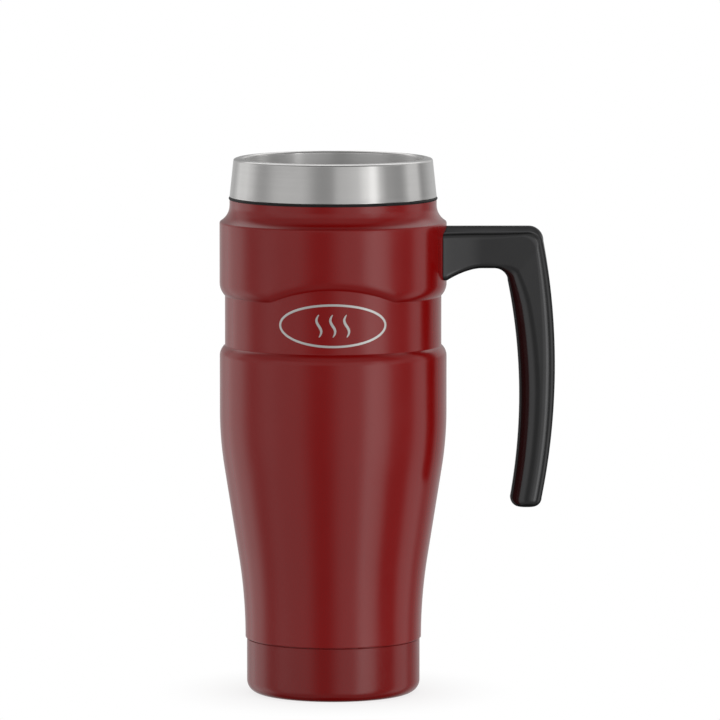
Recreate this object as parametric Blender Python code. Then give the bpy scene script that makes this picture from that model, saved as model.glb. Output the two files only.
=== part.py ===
"""Insulated travel mug: a two-wall steel vessel, a one-arm handle and a twist-to-open drinking lid.

Metres, +Z up. The origin is the middle of the underside and the mug stands on z = 0. The handle
points along +X and the arched step of the shell faces -Y. Lid pieces are children of an empty on
the mug's axis, so their own z counts from the lower edge of the lid's steel band.
"""

import math

import bmesh
import bpy

# General fits
GAP = 0.0003
SOFT_GAP = 0.00015
MERGE_DISTANCE = 0.000001
FINE_SEGMENTS = 48
COARSE_SEGMENTS = 36
SMALL_SEGMENTS = 20
HOLE_SEGMENTS = 14
KNOB_SEGMENTS = 24
SHARP_ANGLE = math.radians(38)

# Outside of the vessel, from the foot up
BODY_RADIUS = 0.0430
FLANK_INSET = 0.0096
SEAM_STEP = 0.00055
WAIST_INSET = 0.0020
NECK_INSET = 0.0038
FOOT_HEIGHT = 0.0210
FLANK_HEIGHT = 0.0866
BARREL_HEIGHT = 0.02185
RIDGE_STEP_HEIGHT = 0.0037
WAIST_HEIGHT = 0.01885
PANEL_STEP_HEIGHT = 0.0044
PANEL_HEIGHT = 0.0232
COVE_RADIUS = 0.0103
NECK_HEIGHT = 0.0003
FLANK_FOOT_SHARE = 0.36
FLANK_SHOULDER_SHARE = 0.25
ARCH_RISE = 0.00515
ARCH_HALF_ANGLE = math.radians(34.5)
EDGE_ROUND = 0.0008
LIP_ROUND = 0.0004

# Walls and inner vessel
SHELL_WALL = 0.0006
LINER_WALL = 0.0006
VACUUM_SPACE = 0.0052
RIM_WIDTH = 0.0032
LINER_FLOOR_HEIGHT = 0.0090
LINER_FILLET = 0.0090
LINER_FLARE_HEIGHT = 0.0035
FOIL_WALL = 0.0003
FOIL_TOP_DROP = 0.0060

# Foot
FOOT_FILLET = 0.0047
BASE_FLOOR = 0.0014
TONGUE_HEIGHT = 0.0046
STAMP_INNER_RADIUS = 0.0180
STAMP_WIDTH = 0.0060
STAMP_DEPTH = 0.0006
CLOSURE_RISE = 0.0028
CLOSURE_FILLET = 0.0030
CLOSURE_FLANGE = 0.0020
PORT_HOLE_RADIUS = 0.0015
SEAL_BEAD_RADIUS = 0.0035
SEAL_BEAD_HEIGHT = 0.0010
SEAL_BEAD_FLAT = 0.0021
GETTER_RADIUS = 0.0040
GETTER_HEIGHT = 0.0016
GETTER_OFFSET = 0.0120

# Handle
HANDLE_REACH = 0.0411
HANDLE_LENGTH = 0.10665
HANDLE_DROP = 0.0018
ARM_DEPTH = 0.01545
GRIP_DEPTH = 0.01355
OUTER_ARC_RADIUS = 0.256
OUTER_ARC_DROP = 0.05325
INNER_ARC_RADIUS = 0.219
INNER_ARC_DROP = 0.06465
OUTER_CORNER = 0.0055
FINGER_CORNER = 0.0053
END_ROUND = 0.0032
FLARE_DEPTH = 0.0045
FLARE_LENGTH = 0.0130
FLARE_POWER = 1.7
FOOT_WIDTH = 0.0240
ARM_WIDTH = 0.0205
END_WIDTH = 0.0170
ARM_TOP_ROUND = 0.0088
ARM_UNDER_ROUND = 0.0026
GRIP_BACK_ROUND = 0.0042
GRIP_FRONT_ROUND = 0.0068
ROUNDS_SHARE = 0.95
END_BACK_LOSS = 0.5
END_FRONT_LOSS = 0.7

# Bracket and screws that hold the handle
SADDLE_WALL = 0.0012
SADDLE_HALF_ANGLE = math.radians(10)
SADDLE_HEIGHT = 0.0100
TONGUE_LENGTH = 0.0160
TONGUE_WIDTH = 0.0120
TONGUE_WALL = 0.0025
SCREW_RADIUS = 0.0015
SCREW_HEAD_RADIUS = 0.0027
SCREW_HEAD_HEIGHT = 0.0020
SCREW_RECESS = 0.0004
SCREW_REACH = 0.0028
SCREW_SPACING = 0.0065

# Lid band, collar, core and gasket
GASKET_WALL = 0.00065
GASKET_BULGE = 0.0003
GASKET_CHAMFER = 0.0002
BAND_TAPER = 0.00145
BAND_HEIGHT = 0.0149
BAND_WALL = 0.0007
LIP_WIDTH = 0.00445
FLANGE_WALL = 0.0020
FLOOR_TOP = 0.0040
FLOOR_WALL = 0.0030
COLLAR_DROP = 0.0036
PLUG_DEPTH = 0.0210
THREAD_ROOM = 0.0014
SKIRT_WALL = 0.0024
PORT_COUNT = 6
PORT_WIDTH = 0.0050
PORT_ANGLE = math.radians(38)

# Twist valve
SHAFT_RADIUS = 0.0040
SHAFT_CLEARANCE = 0.0004
HUB_LENGTH = 0.0110
HUB_HALF_WIDTH = 0.0066
FLOW_GAP = 0.0015
SEAL_WIDTH = 0.0031
SEAL_SEAT = 0.0015
DISC_WALL = 0.0030
DISC_DROP = 0.0016
SLEEVE_WALL = 0.0020
NUT_DEPTH = 0.0035
NUT_ROOM = 0.0037
CLIP_WALL = 0.0008
CLIP_WIDTH = 0.0025
CLIP_OPENING = math.radians(70)
CLIP_GROOVE_DEPTH = 0.0012
RING_RADIUS = 0.0006
DIAL_MARGIN = 0.0030
DIAL_WALL = 0.0030
DIAL_ROUND = 0.0006
GRIP_BAR_HEIGHT = 0.0040
GRIP_BAR_WIDTH = 0.0064
GRIP_BAR_MARGIN = 0.0030
GRIP_BAR_DRAFT = 0.0006

# Heights and radii that follow from the sizes above
FLANK_RADIUS = BODY_RADIUS - FLANK_INSET
FOOT_RADIUS = FLANK_RADIUS - SEAM_STEP
NECK_RADIUS = BODY_RADIUS - NECK_INSET
MOUTH_RADIUS = NECK_RADIUS - RIM_WIDTH
FLANK_TOP = FOOT_HEIGHT + FLANK_HEIGHT
RIDGE_Z = FLANK_TOP + BARREL_HEIGHT
WAIST_Z = RIDGE_Z + RIDGE_STEP_HEIGHT
LEDGE_Z = WAIST_Z + WAIST_HEIGHT
PANEL_Z = LEDGE_Z + PANEL_STEP_HEIGHT
PANEL_TOP = PANEL_Z + PANEL_HEIGHT
COVE_HEIGHT = math.sqrt(COVE_RADIUS**2 - (COVE_RADIUS - NECK_INSET) ** 2)
COVE_TOP = PANEL_TOP + COVE_HEIGHT
RIM_Z = COVE_TOP + NECK_HEIGHT
COVE_ANGLE = math.asin(COVE_HEIGHT / COVE_RADIUS)
LINER_INSET = SHELL_WALL + VACUUM_SPACE + LINER_WALL
TONGUE_RADIUS = FLANK_RADIUS - SHELL_WALL - GAP
CLOSURE_RADIUS = TONGUE_RADIUS - SHELL_WALL - GAP
CLOSURE_Z = BASE_FLOOR + CLOSURE_RISE
HANDLE_TOP = PANEL_TOP - HANDLE_DROP
HANDLE_BACK = BODY_RADIUS + HANDLE_REACH
ARM_UNDERSIDE = HANDLE_TOP - ARM_DEPTH
TONGUE_Z = HANDLE_TOP - ARM_DEPTH / 2
LID_Z = RIM_Z + GASKET_WALL + 2 * SOFT_GAP
BAND_FOOT_RADIUS = NECK_RADIUS
BAND_TOP_RADIUS = BAND_FOOT_RADIUS - BAND_TAPER
WELL_RADIUS = BAND_TOP_RADIUS - LIP_WIDTH
PLUG_RADIUS = MOUTH_RADIUS - THREAD_ROOM
SKIRT_RADIUS = PLUG_RADIUS - SKIRT_WALL
FLOOR_UNDERSIDE = FLOOR_TOP - FLOOR_WALL
HUB_END = FLOOR_UNDERSIDE - HUB_LENGTH
SEAL_RADIUS = SKIRT_RADIUS - FLOW_GAP
SEAL_INNER_RADIUS = SEAL_RADIUS - SEAL_WIDTH
SEAL_TOP = FLOOR_UNDERSIDE - GAP
PORT_OUTER_RADIUS = SEAL_INNER_RADIUS - GAP
PORT_INNER_RADIUS = PORT_OUTER_RADIUS - PORT_WIDTH
DIAL_RADIUS = PORT_INNER_RADIUS - DIAL_MARGIN
DIAL_Z = FLOOR_TOP + GAP
CLIP_TOP = HUB_END - 2 * GAP
NUT_TOP = HUB_END - NUT_ROOM
NUT_END = NUT_TOP - NUT_DEPTH
BORE_RADIUS = SHAFT_RADIUS + SHAFT_CLEARANCE


def clear_scene():
    """Remove every object of the startup scene."""
    for item in list(bpy.data.objects):
        bpy.data.objects.remove(item, do_unlink=True)


def make_material(name, colour, roughness, metallic):
    """Return a Principled material of one colour."""
    material = bpy.data.materials.new(name)
    material.use_nodes = True
    shader = material.node_tree.nodes["Principled BSDF"]
    shader.inputs["Base Color"].default_value = (*colour, 1.0)
    shader.inputs["Roughness"].default_value = roughness
    shader.inputs["Metallic"].default_value = metallic
    material.diffuse_color = (*colour, 1.0)
    return material


def make_empty(name, height):
    """Return an empty on the mug's axis at the given height."""
    empty = bpy.data.objects.new(name, None)
    empty.location = (0.0, 0.0, height)
    bpy.context.scene.collection.objects.link(empty)
    return empty


def make_object(name, shape, material=None, parent=None, location=(0.0, 0.0, 0.0)):
    """Turn a bmesh into a named object with soft shading below the sharp angle."""
    for face in shape.faces:
        face.smooth = True
    mesh = bpy.data.meshes.new(name)
    shape.to_mesh(mesh)
    shape.free()
    mesh.set_sharp_from_angle(angle=SHARP_ANGLE)
    if material:
        mesh.materials.append(material)
    item = bpy.data.objects.new(name, mesh)
    item.parent = parent
    item.location = location
    bpy.context.scene.collection.objects.link(item)
    return item


def make_tool(name, shape, parent=None, location=(0.0, 0.0, 0.0)):
    """Turn a bmesh into a hidden object that a Boolean works with."""
    tool = make_object(name, shape, None, parent, location)
    tool.hide_render = True
    tool.display_type = "WIRE"
    return tool


def combine(item, tool, operation):
    """Add a Boolean to the object: DIFFERENCE cuts the tool away and UNION joins it on."""
    boolean = item.modifiers.new(tool.name, "BOOLEAN")
    boolean.operation = operation
    boolean.object = tool
    boolean.solver = "EXACT"


def arc(centre, radius, start, end, steps):
    """Return points on an arc about centre, from the start angle to the end angle, both included."""
    angles = [start + (end - start) * step / steps for step in range(steps + 1)]
    return [(centre[0] + radius * math.cos(a), centre[1] + radius * math.sin(a)) for a in angles]


def turn(profile, segments, closed):
    """Spin (radius, z) points about Z. A closed profile is a loop, an open one ends on the axis."""
    shape = bmesh.new()
    points = [shape.verts.new((radius, 0.0, z)) for radius, z in profile]
    edges = [shape.edges.new(pair) for pair in zip(points, points[1:])]
    if closed:
        edges.append(shape.edges.new((points[-1], points[0])))
    bmesh.ops.spin(
        shape,
        geom=points + edges,
        cent=(0.0, 0.0, 0.0),
        axis=(0.0, 0.0, 1.0),
        angle=2 * math.pi,
        steps=segments,
        use_merge=True,
    )
    bmesh.ops.remove_doubles(shape, verts=shape.verts, dist=MERGE_DISTANCE)
    bmesh.ops.recalc_face_normals(shape, faces=shape.faces)
    return shape


def loft(rings):
    """Skin a row of point rings of equal count and close both ends."""
    shape = bmesh.new()
    loops = [[shape.verts.new(point) for point in ring] for ring in rings]
    for lower, upper in zip(loops, loops[1:]):
        for index, corner in enumerate(lower):
            after = (index + 1) % len(lower)
            shape.faces.new((corner, lower[after], upper[after], upper[index]))
    shape.faces.new(loops[0])
    shape.faces.new(loops[-1])
    bmesh.ops.recalc_face_normals(shape, faces=shape.faces)
    return shape


def sector(inner, outer, low, high, start, end, steps):
    """Return a block bent round Z, between two radii, two heights and two angles."""
    section = [(inner, low), (outer, low), (outer, high), (inner, high)]
    angles = [start + (end - start) * step / steps for step in range(steps + 1)]
    rings = [[(r * math.cos(a), r * math.sin(a), z) for r, z in section] for a in angles]
    return loft(rings)


def block(low, high):
    """Return a box between two corners."""
    plan = [(low[0], low[1]), (high[0], low[1]), (high[0], high[1]), (low[0], high[1])]
    return loft([[(x, y, z) for x, y in plan] for z in (low[2], high[2])])


def make_hexagonal(shape, half_width):
    """Press every point that lies on a round of this radius out to a hexagon of this half width."""
    for point in shape.verts:
        if abs(math.hypot(point.co.x, point.co.y) - half_width) > MERGE_DISTANCE:
            continue
        turn_angle = math.atan2(point.co.y, point.co.x)
        off_flat = (turn_angle % math.radians(60)) - math.radians(30)
        scale = 1 / math.cos(off_flat)
        point.co.x *= scale
        point.co.y *= scale


def flank_share(height):
    """Return how far the flank has widened at this height: a slow start, a straight run, a slow end."""
    share = min(max((height - FOOT_HEIGHT) / FLANK_HEIGHT, 0.0), 1.0)
    straight_end = 1 - FLANK_SHOULDER_SHARE
    slope = 2 / (1 + straight_end - FLANK_FOOT_SHARE)
    if share < FLANK_FOOT_SHARE:
        return slope * share**2 / (2 * FLANK_FOOT_SHARE)
    if share < straight_end:
        return slope * (share - FLANK_FOOT_SHARE / 2)
    return 1 - slope * (1 - share) ** 2 / (2 * FLANK_SHOULDER_SHARE)


def shell_radius(height):
    """Return the shell's outer radius below the ridge."""
    return FLANK_RADIUS + FLANK_INSET * flank_share(height)


def flank_heights(steps):
    """Return evenly spaced heights up the flank, both ends included."""
    return [FOOT_HEIGHT + FLANK_HEIGHT * step / steps for step in range(steps + 1)]


def step_arc(height):
    """Return the radius and angle of an arc that starts upright and sinks by the waist's inset."""
    radius = (height**2 + WAIST_INSET**2) / (2 * WAIST_INSET)
    return radius, math.asin(height / radius)


def shell_side(flank_steps, step_steps, cove_steps):
    """Return the shell's outline from above its lower lip to its rim."""
    ridge_radius, ridge_angle = step_arc(RIDGE_STEP_HEIGHT)
    panel_radius, panel_angle = step_arc(PANEL_STEP_HEIGHT)
    ridge_centre = (BODY_RADIUS - ridge_radius, RIDGE_Z)
    panel_centre = (BODY_RADIUS - panel_radius, PANEL_Z)
    cove_centre = (NECK_RADIUS + COVE_RADIUS, COVE_TOP)
    cove_start = math.pi + COVE_ANGLE - EDGE_ROUND / COVE_RADIUS
    side = [(shell_radius(z), z) for z in flank_heights(flank_steps)[1:]]
    side += arc(ridge_centre, ridge_radius, 0.0, ridge_angle, step_steps)
    side += arc(panel_centre, panel_radius, -panel_angle, 0.0, step_steps)
    side += [(BODY_RADIUS, PANEL_TOP - EDGE_ROUND)]
    side += arc(cove_centre, COVE_RADIUS, cove_start, math.pi, cove_steps)
    side += [(NECK_RADIUS, RIM_Z)]
    return side


def raise_arch(shape):
    """Lift the panel's lower step into an arch on the -Y side."""
    for point in shape.verts:
        if not LEDGE_Z - MERGE_DISTANCE < point.co.z < PANEL_Z + MERGE_DISTANCE:
            continue
        share = math.atan2(point.co.x, -point.co.y) / ARCH_HALF_ANGLE
        point.co.z += ARCH_RISE * max(1 - share**2, 0.0)


def make_outer_shell(material):
    """Make the painted outer wall, with its flank, ridge, waist, arched panel and neck."""
    outside = [(FLANK_RADIUS - LIP_ROUND, FOOT_HEIGHT), (FLANK_RADIUS, FOOT_HEIGHT + LIP_ROUND)]
    outside += shell_side(flank_steps=8, step_steps=3, cove_steps=4)
    inside = [(FLANK_RADIUS - SHELL_WALL, FOOT_HEIGHT)]
    inside += [(r - SHELL_WALL, z) for r, z in shell_side(flank_steps=4, step_steps=1, cove_steps=2)]
    shape = turn(outside + inside[::-1], FINE_SEGMENTS, closed=True)
    raise_arch(shape)
    make_object("outer_shell", shape, material)


def make_base_cup(material):
    """Make the foot: a drawn cup with a stamped ring below and a tongue inside the shell."""
    stamp_outer_radius = STAMP_INNER_RADIUS + STAMP_WIDTH
    fillet_centre = (FOOT_RADIUS - FOOT_FILLET, FOOT_FILLET)
    inner_radius = TONGUE_RADIUS - SHELL_WALL
    inner_fillet = FOOT_FILLET - BASE_FLOOR
    inner_centre = (inner_radius - inner_fillet, BASE_FLOOR + inner_fillet)
    profile = [(0.0, 0.0), (STAMP_INNER_RADIUS, 0.0)]
    profile += [(STAMP_INNER_RADIUS + STAMP_DEPTH, STAMP_DEPTH)]
    profile += [(stamp_outer_radius - STAMP_DEPTH, STAMP_DEPTH), (stamp_outer_radius, 0.0)]
    profile += arc(fillet_centre, FOOT_FILLET, -math.pi / 2, 0.0, 3)
    profile += [(FOOT_RADIUS, FOOT_HEIGHT - GAP), (TONGUE_RADIUS, FOOT_HEIGHT - GAP)]
    profile += [(TONGUE_RADIUS, FOOT_HEIGHT + TONGUE_HEIGHT)]
    profile += [(inner_radius, FOOT_HEIGHT + TONGUE_HEIGHT)]
    profile += arc(inner_centre, inner_fillet, 0.0, -math.pi / 2, 1)
    profile += [(0.0, BASE_FLOOR)]
    make_object("base_cup", turn(profile, COARSE_SEGMENTS, closed=False), material)


def make_vacuum_closure(material):
    """Make the pressed cup that closes the vacuum space, welded to the shell by its flange."""
    wall = SHELL_WALL
    flange_low = FOOT_HEIGHT + TONGUE_HEIGHT + CLOSURE_FLANGE
    flange_high = flange_low + CLOSURE_FLANGE
    flange_radius = shell_radius(flange_low) - SHELL_WALL - GAP
    bend_low = flange_low - CLOSURE_FLANGE / 2
    corner = (CLOSURE_RADIUS - CLOSURE_FILLET, CLOSURE_Z + CLOSURE_FILLET)
    outside = [(PORT_HOLE_RADIUS, CLOSURE_Z)]
    outside += arc(corner, CLOSURE_FILLET, -math.pi / 2, 0.0, 1)
    outside += [(CLOSURE_RADIUS, bend_low), (flange_radius, flange_low), (flange_radius, flange_high)]
    inside = [(PORT_HOLE_RADIUS, CLOSURE_Z + wall)]
    inside += arc(corner, CLOSURE_FILLET - wall, -math.pi / 2, 0.0, 1)
    inside += [(CLOSURE_RADIUS - wall, bend_low), (flange_radius - wall, flange_low + wall / 2)]
    inside += [(flange_radius - wall, flange_high)]
    make_object("vacuum_closure", turn(outside + inside[::-1], COARSE_SEGMENTS, closed=True), material)


def make_vacuum_seal(material):
    """Make the bead that seals the pumping hole from below."""
    top = CLOSURE_Z - GAP
    profile = [(0.0, top - SEAL_BEAD_HEIGHT), (SEAL_BEAD_FLAT, top - SEAL_BEAD_HEIGHT)]
    profile += [(SEAL_BEAD_RADIUS, top - SEAL_BEAD_HEIGHT / 2), (SEAL_BEAD_RADIUS, top), (0.0, top)]
    make_object("vacuum_seal", turn(profile, SMALL_SEGMENTS, closed=False), material)


def make_getter(material):
    """Make the gas-absorbing pellet that lies on the closure under the liner."""
    profile = [(0.0, 0.0), (GETTER_RADIUS, 0.0), (GETTER_RADIUS, GETTER_HEIGHT), (0.0, GETTER_HEIGHT)]
    place = (GETTER_OFFSET, 0.0, CLOSURE_Z + SHELL_WALL + GAP)
    make_object("getter", turn(profile, SMALL_SEGMENTS, closed=False), material, location=place)


def liner_side(outset):
    """Return the liner's wall from low to high, moved outwards."""
    heights = flank_heights(5)[1:]
    return [(min(MOUTH_RADIUS, shell_radius(z) - LINER_INSET) + outset, z) for z in heights]


def make_inner_liner(material):
    """Make the inner vessel: round floor, wall that follows the flank, and a flared rim."""
    low_radius = FLANK_RADIUS - LINER_INSET
    inner_floor = LINER_FLOOR_HEIGHT + LINER_WALL
    corner = (low_radius - LINER_FILLET, inner_floor + LINER_FILLET)
    rim_radius = NECK_RADIUS - SHELL_WALL - GAP
    outside = [(0.0, LINER_FLOOR_HEIGHT)]
    outside += arc(corner, LINER_FILLET + LINER_WALL, -math.pi / 2, 0.0, 2)
    outside += liner_side(LINER_WALL)
    outside += [(MOUTH_RADIUS + LINER_WALL, RIM_Z - LINER_FLARE_HEIGHT)]
    outside += [(rim_radius, RIM_Z - LINER_FLARE_HEIGHT / 2), (rim_radius, RIM_Z)]
    inside = [(0.0, inner_floor)]
    inside += arc(corner, LINER_FILLET, -math.pi / 2, 0.0, 2)
    inside += liner_side(0.0)
    inside += [(MOUTH_RADIUS, RIM_Z - LIP_ROUND), (MOUTH_RADIUS + LIP_ROUND, RIM_Z)]
    make_object("inner_liner", turn(outside + inside[::-1], COARSE_SEGMENTS, closed=False), material)


def make_liner_foil(material):
    """Make the reflective sleeve wrapped round the liner inside the vacuum space."""
    top = RIM_Z - FOIL_TOP_DROP
    inner = LINER_WALL + GAP
    inside = liner_side(inner) + [(MOUTH_RADIUS + inner, top)]
    outside = [(radius + FOIL_WALL, z) for radius, z in inside]
    make_object("liner_foil", turn(outside + inside[::-1], COARSE_SEGMENTS, closed=True), material)


def grip_back(height):
    """Return x of the grip's long outer curve."""
    from_middle = height - (HANDLE_TOP - OUTER_ARC_DROP)
    return HANDLE_BACK - OUTER_ARC_RADIUS + math.sqrt(OUTER_ARC_RADIUS**2 - from_middle**2)


def grip_front(height):
    """Return x of the grip's long finger-side curve."""
    from_middle = height - (HANDLE_TOP - INNER_ARC_DROP)
    sag = INNER_ARC_RADIUS - math.sqrt(INNER_ARC_RADIUS**2 - from_middle**2)
    return HANDLE_BACK - GRIP_DEPTH - sag


def arm_underside(x):
    """Return z under the arm, which flares down to the body in a soft curve."""
    share = min(max((x - BODY_RADIUS) / FLARE_LENGTH, 0.0), 1.0)
    return ARM_UNDERSIDE - FLARE_DEPTH * (1 - share) ** FLARE_POWER


def handle_stations():
    """Return the handle's cross-sections as (outer edge, inner edge, width, outer round, inner round)."""
    stations = []
    arm_shares = (-0.3, 0.0, 0.08, 0.25, 0.55, 1.0)
    for share in arm_shares:
        x = BODY_RADIUS + FLARE_LENGTH * share
        flare = (1 - min(max(share, 0.0), 1.0)) ** 2
        width = ARM_WIDTH + (FOOT_WIDTH - ARM_WIDTH) * flare
        stations.append(((x, HANDLE_TOP), (x, arm_underside(x)), width, ARM_TOP_ROUND, ARM_UNDER_ROUND))

    back_low = HANDLE_TOP - OUTER_CORNER
    front_low = ARM_UNDERSIDE - FINGER_CORNER
    back_corner = (grip_back(back_low) - OUTER_CORNER, back_low)
    front_corner = (grip_front(front_low) - FINGER_CORNER, front_low)
    bend_steps = 4
    back_bend = arc(back_corner, OUTER_CORNER, math.pi / 2, 0.0, bend_steps)
    front_bend = arc(front_corner, FINGER_CORNER, math.pi / 2, 0.0, bend_steps)
    for step, (back, front) in enumerate(zip(back_bend, front_bend)):
        share = step / bend_steps
        back_round = ARM_TOP_ROUND + (GRIP_BACK_ROUND - ARM_TOP_ROUND) * share
        front_round = ARM_UNDER_ROUND + (GRIP_FRONT_ROUND - ARM_UNDER_ROUND) * share
        stations.append((back, front, ARM_WIDTH, back_round, front_round))

    end_z = HANDLE_TOP - HANDLE_LENGTH
    end_centre_z = end_z + END_ROUND
    grip_steps = 8
    for step in range(1, grip_steps):
        share = step / grip_steps
        back_z = back_low + (end_centre_z - back_low) * share
        front_z = front_low + (end_centre_z - front_low) * share
        width = ARM_WIDTH + (END_WIDTH - ARM_WIDTH) * share
        back = (grip_back(back_z), back_z)
        front = (grip_front(front_z), front_z)
        stations.append((back, front, width, GRIP_BACK_ROUND, GRIP_FRONT_ROUND))

    back_end = (grip_back(end_centre_z) - END_ROUND, end_centre_z)
    front_end = (grip_front(end_centre_z) + END_ROUND, end_centre_z)
    end_steps = 3
    back_turn = arc(back_end, END_ROUND, 0.0, -math.pi / 2, end_steps)
    front_turn = arc(front_end, END_ROUND, math.pi, 3 * math.pi / 2, end_steps)
    for step, (back, front) in enumerate(zip(back_turn, front_turn)):
        lost = END_ROUND * (1 - math.cos(math.pi / 2 * step / end_steps))
        width = END_WIDTH - 2 * lost
        back_round = GRIP_BACK_ROUND * (1 - END_BACK_LOSS * step / end_steps)
        front_round = GRIP_FRONT_ROUND * (1 - END_FRONT_LOSS * step / end_steps)
        stations.append((back, front, width, back_round, front_round))
    return stations


def rounded_section(outer, inner, width, outer_round, inner_round):
    """Return a ring of points: a rectangle from the outer to the inner edge with rounded corners."""
    depth = math.dist(outer, inner)
    along = ((inner[0] - outer[0]) / depth, (inner[1] - outer[1]) / depth)
    half = width / 2
    fit = min(1.0, ROUNDS_SHARE * depth / (outer_round + inner_round))
    outer_fit = outer_round * fit
    inner_fit = inner_round * fit
    quarter = math.pi / 2
    flat = arc((outer_fit, half - outer_fit), outer_fit, 2 * quarter, quarter, 3)
    flat += arc((depth - inner_fit, half - inner_fit), inner_fit, quarter, 0.0, 3)
    flat += [(u, -v) for u, v in reversed(flat)]
    return [(outer[0] + along[0] * u, v, outer[1] + along[1] * u) for u, v in flat]


def saddle_shape(grow):
    """Return the bracket's curved plate, grown on every side by the given amount."""
    inner = BODY_RADIUS + GAP - grow
    outer = BODY_RADIUS + GAP + SADDLE_WALL + grow
    reach = SADDLE_HALF_ANGLE + grow / inner
    low = TONGUE_Z - SADDLE_HEIGHT / 2 - grow
    high = TONGUE_Z + SADDLE_HEIGHT / 2 + grow
    return sector(inner, outer, low, high, -reach, reach, 6)


def tongue_shape(grow):
    """Return the bracket's tongue, which starts inside the curved plate."""
    root = BODY_RADIUS + GAP + SADDLE_WALL / 2
    half_width = TONGUE_WIDTH / 2 + grow
    half_wall = TONGUE_WALL / 2 + grow
    low = (root, -half_width, TONGUE_Z - half_wall)
    high = (BODY_RADIUS + TONGUE_LENGTH + grow, half_width, TONGUE_Z + half_wall)
    return block(low, high)


def screw_places():
    """Return the x of both screws, spread about the middle of the tongue."""
    middle = BODY_RADIUS + GAP + SADDLE_WALL + (TONGUE_LENGTH - SADDLE_WALL) / 2
    return {"inner": middle - SCREW_SPACING / 2, "outer": middle + SCREW_SPACING / 2}


def screw_profile(grow, head_below):
    """Return a screw's half outline from its head up, with the head run on below by head_below."""
    head = SCREW_HEAD_RADIUS + grow
    shank = SCREW_RADIUS + grow
    head_top = SCREW_HEAD_HEIGHT + grow
    tip = TONGUE_Z + TONGUE_WALL / 2 + SCREW_REACH - ARM_UNDERSIDE - SCREW_RECESS + grow
    profile = [(0.0, -head_below), (head, -head_below), (head, head_top), (shank, head_top)]
    return profile + [(shank, tip), (0.0, tip)]


def make_handle(material):
    """Make the moulded handle: a lofted arm and grip, hollowed for the bracket and its screws."""
    handle = make_object("handle", loft([rounded_section(*s) for s in handle_stations()]), material)
    body_profile = [(0.0, RIDGE_Z), (BODY_RADIUS + GAP, RIDGE_Z)]
    body_profile += [(BODY_RADIUS + GAP, RIM_Z), (0.0, RIM_Z)]
    body = turn(body_profile, FINE_SEGMENTS, closed=False)
    combine(handle, make_tool("body_clearance", body), "DIFFERENCE")
    combine(handle, make_tool("saddle_pocket", saddle_shape(GAP)), "DIFFERENCE")
    combine(handle, make_tool("tongue_pocket", tongue_shape(GAP)), "DIFFERENCE")
    for name, x in screw_places().items():
        shape = turn(screw_profile(GAP, FLARE_DEPTH), HOLE_SEGMENTS, closed=False)
        hole = make_tool(f"handle_hole_{name}", shape, location=(x, 0.0, ARM_UNDERSIDE + SCREW_RECESS))
        combine(handle, hole, "DIFFERENCE")


def make_handle_bracket(material):
    """Make the steel bracket on the shell: a curved plate with a tongue that the handle slides onto."""
    bracket = make_object("handle_bracket", saddle_shape(0.0), material)
    combine(bracket, make_tool("bracket_tongue", tongue_shape(0.0)), "UNION")
    for name, x in screw_places().items():
        hole_profile = [(0.0, -TONGUE_WALL), (SCREW_RADIUS + GAP, -TONGUE_WALL)]
        hole_profile += [(SCREW_RADIUS + GAP, TONGUE_WALL), (0.0, TONGUE_WALL)]
        shape = turn(hole_profile, HOLE_SEGMENTS, closed=False)
        hole = make_tool(f"bracket_hole_{name}", shape, location=(x, 0.0, TONGUE_Z))
        combine(bracket, hole, "DIFFERENCE")


def make_handle_screws(material):
    """Make both screws, driven up from under the arm through the tongue."""
    for name, x in screw_places().items():
        place = (x, 0.0, ARM_UNDERSIDE + SCREW_RECESS)
        shape = turn(screw_profile(0.0, 0.0), HOLE_SEGMENTS, closed=False)
        make_object(f"handle_screw_{name}", shape, material, location=place)


def make_lid_gasket(material, lid):
    """Make the flat ring that seals the lid on the vessel's rim and shows as a black line."""
    outer = NECK_RADIUS + GASKET_BULGE
    inner = PLUG_RADIUS + GAP
    low = -SOFT_GAP - GASKET_WALL
    profile = [(inner, low), (outer - GASKET_CHAMFER, low), (outer, low + GASKET_CHAMFER)]
    profile += [(outer, -SOFT_GAP), (inner, -SOFT_GAP)]
    make_object("lid_gasket", turn(profile, COARSE_SEGMENTS, closed=True), material, lid)


def make_lid_band(material, lid):
    """Make the steel band: a tapered wall rolled over a round lip into the drinking well."""
    lip = LIP_WIDTH / 2
    centre = (BAND_TOP_RADIUS - lip, BAND_HEIGHT - lip)
    wall_end = FLOOR_TOP + GAP
    outside = [(BAND_FOOT_RADIUS, 0.0)] + arc(centre, lip, 0.0, math.pi, 6) + [(WELL_RADIUS, wall_end)]
    inside = [(BAND_FOOT_RADIUS - BAND_WALL, 0.0)] + arc(centre, lip - BAND_WALL, 0.0, math.pi, 3)
    inside += [(WELL_RADIUS + BAND_WALL, wall_end)]
    make_object("lid_band", turn(outside + inside[::-1], FINE_SEGMENTS, closed=True), material, lid)


def band_room(height):
    """Return the radius of the room inside the band's outer wall, above its lower edge."""
    taper = BAND_TAPER * height / (BAND_HEIGHT - LIP_WIDTH / 2)
    return BAND_FOOT_RADIUS - taper - BAND_WALL - GAP


def make_lid_collar(material, lid):
    """Make the ring that stands on the core's flange and backs the band up to its rolled lip."""
    inner = WELL_RADIUS + BAND_WALL + GAP
    low = FLANGE_WALL + GAP
    top = BAND_HEIGHT - COLLAR_DROP
    profile = [(inner, low), (band_room(low), low), (band_room(top), top), (inner, top)]
    make_object("lid_collar", turn(profile, COARSE_SEGMENTS, closed=True), material, lid)


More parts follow.
